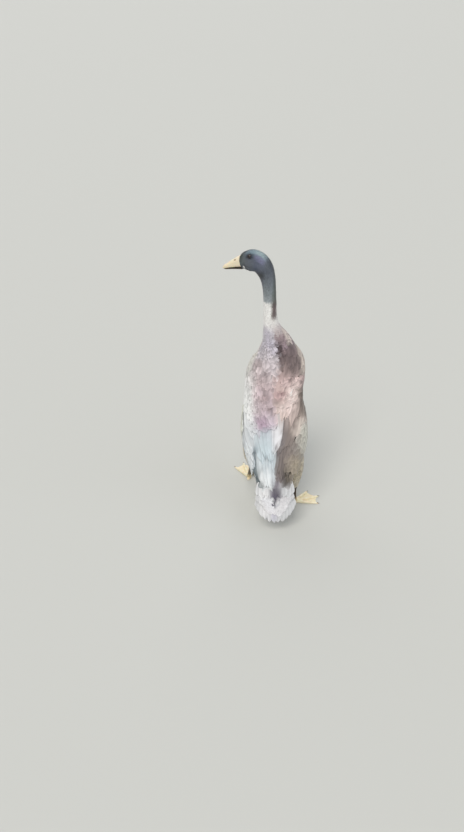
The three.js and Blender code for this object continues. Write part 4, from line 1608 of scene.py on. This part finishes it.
@dataclass(frozen=True)
class Leg:
    """A shank and a webbed foot, from the ground point under the toe joint, with the solids' sizes."""

    side: int
    joint: tuple[float, float]
    hock: tuple[float, float]
    turn: float
    shank_dark: float
    toes: tuple[tuple[float, float], ...] = ((57, 26), (62, 0), (50, -31))  # length and spread, outer first
    hind_toe: tuple[float, float] = (11.0, 180 - np.degrees(0.5))
    # height, share of the way to the hock, half width, half depth
    shank: Stations = (
        (2, 0, 5.2, 5.8), (6, 0, 6.2, 6.8), (12, 0.1, 5, 6.2), (24, 0.35, 3.9, 5.2), (42, 0.7, 4.1, 5.6),
        (53, 0.9, 5.6, 7.2), (64, 1, 6.2, 8.2), (71, 1, 4.2, 5.2),
    )
    # share of the length, half width, height
    toe: Stations = ((0.3, 3.7, 3.6), (0.55, 3.3, 3.1), (0.8, 2.8, 2.7), (0.93, 2.1, 2.2), (0.99, 0.9, 1.1))
    knuckles: tuple[float, float] = (0.36, 0.66)  # shares of the length
    web_thick: float = 1.5
    web_reach: float = 0.93  # share of a toe's length that the web goes out to
    web_hollow: float = 0.45
    scute: float = 3.1  # mm from one scute to the next
    toe_scute: float = 0.62  # the same on a toe, as a share of that
    claw: float = 6.0
    pale: str = "f2e8ca"

    def to_world(self, points: Array) -> Array:
        """Turns points of a foot whose middle toe lies along x to where the foot stands."""
        return points @ turned(-90 + self.side * self.turn).T + np.array([*self.joint, 0.0])

    def shank_piece(self) -> Piece:
        """The shank: level ovals, with scutes in front as low steps that repeat down the leg.

        Each scute's step falls by a square from its upper edge. Behind, a product of sines gives pebbles.

        Returns:
            the shank.
        """
        z = np.linspace(self.shank[0][0], self.shank[-1][0], 150)
        t, across, deep = between(self.shank, z)
        angle = circle(40)
        front = smooth(-np.sin(angle), 0.1, 0.7)
        step = ((z / self.scute) % 1)[:, None]
        plate = 0.32 * front * (1 - step) ** 2
        pebble = 0.12 * (1 - front) * np.sin(z[:, None] * 2.6 + 3 * np.sin(angle * 8)) * np.sin(angle * 9)
        swell = plate + pebble
        middle = np.stack([self.joint[0] + t * (self.hock[0] - self.joint[0]),
                           self.joint[1] + t * (self.hock[1] - self.joint[1]), z], -1)
        ring = np.stack([(across[:, None] + swell) * np.cos(angle), (deep[:, None] + swell) * np.sin(angle),
                         0 * z[:, None] + 0 * angle], -1)
        # darker from the foot up to dark brown: partly the shank's own colour, partly painted shade under the
        # body
        down = (smooth(z, 5, 24) * self.shank_dark)[:, None]
        colour = mix(linear("dccba0"), linear("3b2a20"), down) + 0 * ring
        # painted shade: the strip just under each scute's raised edge is darker
        colour = colour * (1 - 0.25 * (step > 0.86) * front)[..., None]
        return closed_tube(middle[:, None] + ring, colour)

    def toe_piece(self, length: float, spread: float) -> Piece:
        """One toe along its own line: rings cut flat by the ground, with pads and scutes along it.

        Args:
            length: mm from the joint to its end.
            spread: degrees from the middle toe.
        Returns:
            the toe.
        """
        sizes = np.array([[-5, 3.5, 3.6], [0, 4.6, 5]] + [[length * a, b, c] for a, b, c in self.toe])
        x = np.linspace(sizes[0, 0], sizes[-1, 0], 110)
        wide, high = between(sizes, x)
        knuckle = sum(bell((x - length * share) / 3.4) for share in self.knuckles)
        angle = circle(28, halfway=True)
        over = np.clip(np.sin(angle), 0, 1)
        step = ((x / (self.scute * self.toe_scute)) % 1)[:, None]
        bump = 0.22 * over * (1 - step) ** 2
        y = (wide * (1 + 0.1 * knuckle))[:, None] * np.cos(angle)
        z = (high * 0.75)[:, None] + (high * (1 + 0.1 * knuckle))[:, None] * np.sin(angle) + bump
        ring = np.stack([np.broadcast_to(x[:, None], y.shape), y, np.maximum(z, 0)], -1)
        # painted shade: darker in the creases just behind each scute's raised edge on top, and darker round
        # the knuckles
        crease = (step > 0.84) * over * 0.35 + 0.25 * knuckle[:, None]
        colour = mix(linear(self.pale), linear("d3ba8e"), crease) + 0 * ring
        return closed_tube(self.to_world(ring @ turned(self.side * spread).T), colour)

    def claw_piece(self, length: float, spread: float) -> Piece:
        """A claw: a tapering tube that bends down from the toe's end by the square of its length.

        Args:
            length: mm from the joint to the toe's end.
            spread: degrees from the middle toe.
        Returns:
            the claw.
        """
        u = np.linspace(0, 1, 16)
        x = length * self.web_reach + u * self.claw * 1.15
        radius = 1.35 * (1 - u) ** 0.7 + 0.12
        angle = circle(16)
        z = (2.5 + 0.6 * u - 2.0 * u**2)[:, None] + (radius * 1.1)[:, None] * np.sin(angle)
        y = (radius * 0.8)[:, None] * np.cos(angle)
        ring = np.stack([np.broadcast_to(x[:, None], y.shape), y, np.maximum(z, 0.05)], -1)
        return closed_tube(self.to_world(ring @ turned(self.side * spread).T), linear("7a6450"))

    def web_piece(self, first: int) -> Piece:
        """The web between two toes: a fan from the joint to a hollow edge, creased along its rays.

        The edge is the curve from one toe's tip to the next with its middle pulled in, and a point
        lies at its share of the way out to the edge.

        Args:
            first: the number of the first of the two toes.
        Returns:
            the web.
        """
        tips = [length * self.web_reach * turned(self.side * spread)[:2, 0]
                for length, spread in self.toes[first : first + 2]]
        w = np.linspace(0, 1, 34)[None, :, None]
        hollow = (tips[0] + tips[1]) * self.web_hollow
        edge = (1 - w) ** 2 * tips[0] + 2 * w * (1 - w) * hollow + w**2 * tips[1]
        far = np.linspace(0.03, 1, 44)[:, None, None]
        flat, w, far = far * edge, w[..., 0], far[..., 0]
        crease = 0.16 * np.sin(w * 2 * np.pi * 5) * far * np.sin(np.pi * w)
        fold = 0.1 * np.sin(far * 46 + 2 * np.sin(w * 9))
        top = self.web_thick - 0.35 * far + crease + fold
        upper = np.concatenate([flat, top[..., None]], -1)
        lower = np.concatenate([flat, 0 * top[..., None]], -1)
        number = numbers(*top.shape)
        sheet = cells(number)
        rim = np.concatenate([number[0, :-1], number[:-1, -1], number[-1, :0:-1], number[:0:-1, 0]])
        walls = np.stack([rim, rim + number.size, np.roll(rim, -1) + number.size, np.roll(rim, -1)], -1)
        points = np.concatenate([upper.reshape(-1, 3), lower.reshape(-1, 3)])
        faces = np.concatenate([sheet, sheet[:, ::-1] + number.size, walls])
        if faces_in(points, sheet, np.broadcast_to([0.0, 0.0, 1.0], (len(sheet), 3))):
            faces = faces[:, ::-1]
        # painted shade: darker where the web dips in its creases and folds
        dip = np.clip(0.5 - 2.2 * (crease + fold), 0, 1) * 0.55
        colour = mix(linear(self.pale), linear("dcc69c"), dip).reshape(-1, 3)
        return Piece(self.to_world(points), [faces], np.concatenate([colour, colour]))

    def foot_piece(self) -> Piece:
        """The toes, the web and the small hind toe."""
        toes = [self.toe_piece(length, spread) for length, spread in self.toes]
        return Piece.joined([*toes, self.web_piece(0), self.web_piece(1), self.toe_piece(*self.hind_toe)])


# Studio


@dataclass(frozen=True)
class Studio:
    """The floor, the lights and the camera, in metres from the frame's origin."""

    eye: tuple[float, float, float]
    pitch: float = 33.4  # degrees down
    roll: float = 1.92
    focal: float = 785.0  # in pixels of a picture 832 high
    picture: int = 832
    sensor: float = 36.0
    floor_size: float = 60.0

    def camera(self) -> None:
        """Sets the camera at the photograph's place, looking from behind the duck and down."""
        down, roll = np.radians(self.pitch), np.radians(self.roll)
        ahead = np.array([0, -np.cos(down), -np.sin(down)])
        right, up = np.array([-1.0, 0, 0]), np.array([0, -np.sin(down), np.cos(down)])
        across = np.cos(roll) * right - np.sin(roll) * up
        upward = np.sin(roll) * right + np.cos(roll) * up
        data = bpy.data.cameras.new("camera")
        data.sensor_width, data.lens = self.sensor, self.focal / self.picture * self.sensor
        made = link("camera", data)
        made.matrix_world = axes_matrix((across, upward, -ahead), self.eye)
        bpy.context.scene.camera = made

    def light(self, name: str, at: tuple[float, float, float], angle: float, power: float,
              colour: str) -> None:
        """Adds a soft sun.

        Args:
            name: its name.
            at: the direction that it shines from.
            angle: how wide it is, in degrees.
            power: its strength.
            colour: its colour.
        """
        data = bpy.data.lights.new(name, "SUN")
        data.angle, data.energy, data.color = np.radians(angle), power, linear(colour)
        back = unit(np.array(at))
        side = unit(np.cross([0, 0, 1.0], back))
        link(name, data).matrix_world = axes_matrix((side, np.cross(back, side), back), (0, 0, 0))

    def lights(self) -> None:
        """Soft studio light: a high key, a fill on the other side and one from the front."""
        self.light("key", (0.35, 0.75, 1.3), 35, 1.7, "fffbf4")
        self.light("fill", (-1.0, 0.6, 0.7), 60, 0.5, "f2f6ff")
        self.light("front", (0.2, -1.0, 0.7), 60, 0.8, "ffffff")
        world = bpy.data.worlds.new("studio")
        world.use_nodes = True
        shade = world.node_tree.nodes["Background"]
        shade.inputs["Color"].default_value = (*linear("f1f3f5"), 1)
        shade.inputs["Strength"].default_value = 0.5
        bpy.context.scene.world = world
        bpy.context.scene.view_settings.view_transform = "Standard"

    def floor(self) -> None:
        """A plain pale floor of matt paint, which gives the duck something to stand on."""
        half = self.floor_size / 2
        mesh = bpy.data.meshes.new("floor")
        mesh.from_pydata([(-half, -half, 0), (half, -half, 0), (half, half, 0), (-half, half, 0)], [],
                         [(0, 1, 2, 3)])
        made = bpy.data.materials.new("matt painted floor")
        made.use_nodes = True
        shader = made.node_tree.nodes["Principled BSDF"]
        shader.inputs["Base Color"].default_value = (*linear("c6c7c3"), 1)
        shader.inputs["Roughness"].default_value = 0.85
        mesh.materials.append(made)
        link("floor", mesh)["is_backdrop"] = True


# The whole duck


# Numbers after the vane are s, gap, length, width, low and high, each at the low and the high end
BODY_TRACTS = (
    Tract("head_feathers", TUFT, (578, 653), (1.7, 1.15), (5.2, 2.6), (2.3, 1.5), (-1.3, -0.7), (0.25, 0.15),
          spread=7, tone=0.1, seed=11, kind=Kind.SLEEK, slot="slate_plumage"),
    Tract("neck_feathers", SMALL, (436, 582), (2.5, 1.75), (10, 5.6), (4.6, 2.5), (-2.0, -1.3), (0.3, 0.25),
          spread=6, tone=0.09, seed=12, kind=Kind.SLEEK, slot="slate_plumage"),
    Tract("shoulder_feathers", BODY, (372, 440), (4.4, 2.7), (21, 11), (9.5, 5.2), (-3.2, -2.0), (0.7, 0.3),
          spread=8, tone=0.13, seed=13),
    Tract("breast_and_belly_feathers", BODY, (112, 376), (5.0, 4.6), (25, 22), (12, 10), (-3.4, -3.2),
          (0.8, 0.7), spread=7, tone=0.06, seed=14),
    Tract("rump_feathers", SMALL, (42, 114), (5.2, 6.4), (26, 32), (12, 16), (-2.6, -3.2), (0.5, 0.8),
          spread=5, tone=0.02, seed=15, painted=0.85, slot="white_plumage"),
    Tract("mantle_feathers", BODY, (290, 402), (8.5, 6.5), (36, 24), (16, 12), (-1.0, -2.0), (3.0, 0.8),
          spread=8, tone=0.27, seed=31, painted=0.5, over_wings=True),
    Tract("flank_feathers", BODY, (140, 384), (8.5, 7.4), (38, 30), (17, 14), (-0.5, -1.5), (3.0, 2.0),
          spread=7, tone=0.07, upward=14, seed=32, painted=0.5, over_wings=True),
)
THIGH_TRACT = Tract("thigh_feathers", BODY, (5, 108), (2.9, 4.6), (11, 22), (5.4, 10), (-2.2, -2.6),
                    (0.3, 0.8), spread=8, tone=0.12, seed=21, slot="pale_plumage")


class Duck:
    """The dressed duck: builds each piece, places it in the frame and reports it."""

    bill_root: float = 651.5  # s
    hip_height: float = 160.0
    hock_height: float = 64.3
    lid_reach: float = 6.6  # mm from an eye's middle that its lids take up
    beside: float = 40.0  # mm over the back at which lengths are turned into angles
    flank_wide: float = 32.0  # mm of flank feathers below a wing's edge
    thigh_beige: tuple[str, str] = ("a3967f", "d6cdb9")  # flecks, dark to pale
    thigh_marked: float = 0.25  # how much of the body's marking shows on a thigh
    thigh_sunk: float = 3.0  # mm into the body that thigh feathers still grow

    def __init__(self) -> None:
        """Sets out the forms, and finds the frame's shift from the left eye's solid."""
        self.body = Body()
        self.markings = Markings()
        self.eyes = {side: Eye(side) for side in (1, -1)}
        low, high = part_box("eye_left")
        found = (np.array(low) + np.array(high)) / 2 / MM
        self.origin = found - self.eyes[1].axes(self.body)[0]
        self.bill = Bill(self.body.centre(np.array(self.bill_root)))
        self.legs = {"left": Leg(1, (54, -29), (49, -8), 12, 0.9),
                     "right": Leg(-1, (-52, 72), (-50, 81), 74, 1.0)}
        hips = {"left": (37, 22, self.hip_height), "right": (-43, 56, self.hip_height)}
        self.thighs = {name: Thigh(leg.side, (*leg.hock, self.hock_height), hips[name])
                       for name, leg in self.legs.items()}
        self.wings = (LEFT_WING, RIGHT_WING)
        self.materials = {kind: finish.material() for kind, finish in FINISHES.items()}

    def add(self, name: str, piece: Piece, kind: Kind, slot: str, nodes: tuple[str, ...] = ()) -> None:
        """Makes a piece's object and tells the frame what it is.

        Args:
            name: the piece's name.
            piece: its arrays.
            kind: its finish.
            slot: the record's material slot.
            nodes: the solid nodes that it stands for.
        """
        self.claim(make_object(name, piece, self.origin, self.materials[kind]), slot, nodes)

    def claim(self, made: bpy.types.Object, slot: str, nodes: tuple[str, ...]) -> None:
        """Tells the frame which body a piece rides on and hides the solid nodes that it stands for, and
        reports it.

        Args:
            made: the piece's object.
            slot: not used.
            nodes: the solid nodes that it stands for.
        """
        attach(made, "root")
        if nodes:
            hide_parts(*nodes)
        log.info("%s: %d faces", made.name, len(made.data.polygons))

    def skin(self) -> None:
        """Builds the skin."""
        made = Skin().object(self.body, list(self.thighs.values()), self.markings, self.bill, self.origin,
                             self.materials[Kind.HIDE])
        self.claim(made, "mauve_plumage",
                   ("torso", "neck_lower", "neck_upper", "head", "thigh_left", "thigh_right"))

    def colour(self, s: Array, around: Array) -> Array:
        """The marking at places on the body."""
        return self.markings.colour(self.body, s, around)

    def over_back(self, s: Array) -> Array:
        """The angle that is a set length over the back, from which other lengths follow."""
        return self.body.around_at(s, np.full(np.shape(s), self.beside))

    def across(self, s: Array, around: Array) -> Array:
        """Lengths over the surface from the middle of the back."""
        return around * self.beside / self.over_back(s)

    def over_wings(self, s: Array, around: Array, height: Array) -> Array:
        """Points at a height over the folded wings, or over the body where there is no wing.

        Args:
            s: lengths along the body.
            around: angles round it.
            height: the heights.
        Returns:
            the points.
        """
        t = np.abs(self.across(s, around))
        left, right = (wing.swell(s - wing.lift, t) for wing in self.wings)
        return self.body.raised(s, around, height + np.where(around > 0, left, right))

    def clear_of_wings(self, s: Array, around: Array) -> Array:
        """Which places aren't well under a folded wing, where no small feathers are needed.

        A wing covers a strip from its inner edge, which goes outwards by 26 mm at the shoulder, to its
        outer edge, which widens from its tips up and narrows again at the shoulder.

        Args:
            s: lengths along the body.
            around: angles round it.
        Returns:
            true for each place that is clear.
        """
        clear = np.ones(s.shape, bool)
        for wing in self.wings:
            along = s - wing.lift
            t = wing.side * around / (self.over_back(s) / self.beside)
            outer = 4 + 60 * smooth(along, 60, 230) - 28 * smooth(along, 312, 384)
            clear &= ~((t > 16 + 26 * smooth(along, 290, 350)) & (t < outer) & (along > 110) & (along < 350))
        return clear

    def on_mantle(self, s: Array, around: Array) -> Array:
        """Which places are in the middle of the back, between the wings and over their inner edges."""
        return np.abs(self.across(s, around)) < 11 + 15 * smooth(s, 310, 390)

    def on_flank(self, s: Array, around: Array) -> Array:
        """Which places are just below a wing's outer edge, whose feathers lie over that edge.

        Each edge is about 90 mm out where the wing is widest, and comes in towards its tips and towards
        the shoulder.

        Args:
            s: lengths along the body.
            around: angles round it.
        Returns:
            true for each such place.
        """
        t = self.across(s, around)
        left = 88 - 30 * smooth(-s, -235, -150) - 22 * smooth(s, 300, 385)
        right = 90 - 20 * smooth(-s, -290, -235) - 33 * smooth(-s, -230, -160) - 18 * smooth(s, 310, 385)
        out = np.abs(t) - np.where(t > 0, left, right)
        return (out > 0) & (out < self.flank_wide) & (s < np.where(t > 0, 366, 384))

    def clear_of_eyes(self, s: Array, around: Array) -> Array:
        """Which places on the head lie outside the eyelids and behind the bill.

        Args:
            s: lengths along the body.
            around: angles round it.
        Returns:
            true for each place that is clear.
        """
        points = self.body.surface(s, around)
        clear = (points - self.bill.root) @ self.bill.turn[:, 0] < -0.2
        for eye in self.eyes.values():
            clear &= np.linalg.norm(points - eye.axes(self.body)[0], axis=-1) > self.lid_reach
        return clear

    def coat(self) -> None:
        """Grows the small feathers of the body, under the wings' edges and over them."""
        keeps = {"head_feathers": self.clear_of_eyes, "mantle_feathers": self.on_mantle,
                 "flank_feathers": self.on_flank}
        for tract in BODY_TRACTS:
            keep = keeps.get(tract.name, self.clear_of_wings)
            place = self.over_wings if tract.over_wings else self.body.raised
            feathers, rng = tract.feathers(self.body, self.colour, keep)
            piece = grow(place, feathers, tract.vane, rng, self.colour, tract.painted)
            self.add(tract.name, piece, tract.kind, tract.slot)

    def thigh_feathers(self, thigh: Thigh) -> Piece:
        """Grows the feathers of a thigh where it stands clear of the body.

        Args:
            thigh: the thigh's form.
        Returns:
            its feathers.
        """

        def colour(s: Array, around: Array) -> Array:
            """Beige flecks by a product of sines, with a little of the body's marking.

            Args:
                s: lengths up the thigh.
                around: angles round it.
            Returns:
                the colours.
            """
            fleck = 0.5 + 0.5 * np.sin(s * 0.55) * np.sin(around * 7 + s * 0.2)
            beige = mix(*(linear(tone) for tone in self.thigh_beige), fleck)
            shown = self.colour(*self.body.locate(thigh.surface(s, around)))
            return shown * self.thigh_marked + beige * (1 - self.thigh_marked)

        def keep(s: Array, around: Array) -> Array:
            """Which places are outside the body.

            Args:
                s: lengths up the thigh.
                around: angles round it.
            Returns:
                true for each such place.
            """
            points = thigh.surface(s, around)
            near, angle = self.body.locate(points)
            away = np.linalg.norm(points - self.body.centre(near), axis=-1)
            return away > self.body.reach(near, angle) - self.thigh_sunk

        feathers, rng = THIGH_TRACT.feathers(thigh, colour, keep)
        return grow(thigh.raised, feathers, THIGH_TRACT.vane, rng, colour, THIGH_TRACT.painted)

    def thigh_coat(self) -> None:
        """Grows the feathers of both thighs."""
        for name, thigh in self.thighs.items():
            self.add(f"{name}_thigh_feathers", self.thigh_feathers(thigh), THIGH_TRACT.kind, THIGH_TRACT.slot)

    def wings_and_tail(self) -> None:
        """Grows the wings' rows and the tail's fan."""
        for wing in self.wings:
            self.add(wing.name, wing.piece(self.body, self.markings), Kind.QUILLS, wing.slot, (wing.node,))
        tail = Tail().piece(self.body, self.markings)
        self.add("tail_feathers", tail, Kind.QUILLS, "white_plumage", ("tail",))

    def face(self) -> None:
        """Builds the eyes, the lids and the bill."""
        for name, side in (("left", 1), ("right", -1)):
            eye = self.eyes[side]
            self.add(f"{name}_eye", eye.ball(self.body), Kind.EYE, "eye", (f"eye_{name}",))
            self.add(f"{name}_eyelids", eye.lid(self.body), Kind.LEG, "slate_plumage")
        self.add("upper_bill", self.bill.upper_piece(), Kind.HORN, "bill_horn", ("bill_upper",))
        self.add("lower_bill", self.bill.lower_piece(), Kind.HORN, "bill_dark", ("bill_lower",))

    def stand(self) -> None:
        """Builds the shanks, the feet and the claws."""
        for name, leg in self.legs.items():
            self.add(f"{name}_shank", leg.shank_piece(), Kind.LEG, "leg_skin", (f"shank_{name}",))
            self.add(f"{name}_foot", leg.foot_piece(), Kind.LEG, "leg_skin", (f"foot_{name}",))
            claws = Piece.joined([leg.claw_piece(length, spread) for length, spread in leg.toes])
            self.add(f"{name}_claws", claws, Kind.CLAW, "bill_dark")


def main() -> None:
    """Loads the frame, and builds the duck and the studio."""
    logging.basicConfig(level=logging.INFO, format="%(message)s")
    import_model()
    solid_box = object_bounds()
    duck = Duck()
    duck.skin()
    duck.coat()
    duck.thigh_coat()
    duck.wings_and_tail()
    duck.face()
    duck.stand()
    studio = Studio(tuple((np.array([92.0, 1537.0, 1220.0]) + duck.origin) * MM))
    studio.camera()
    studio.lights()
    studio.floor()
    boxes = {"solids": solid_box, "visual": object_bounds()}
    plain = {name: [[float(value) for value in corner] for corner in box] for name, box in boxes.items()}


if __name__ == "__main__":
    main()
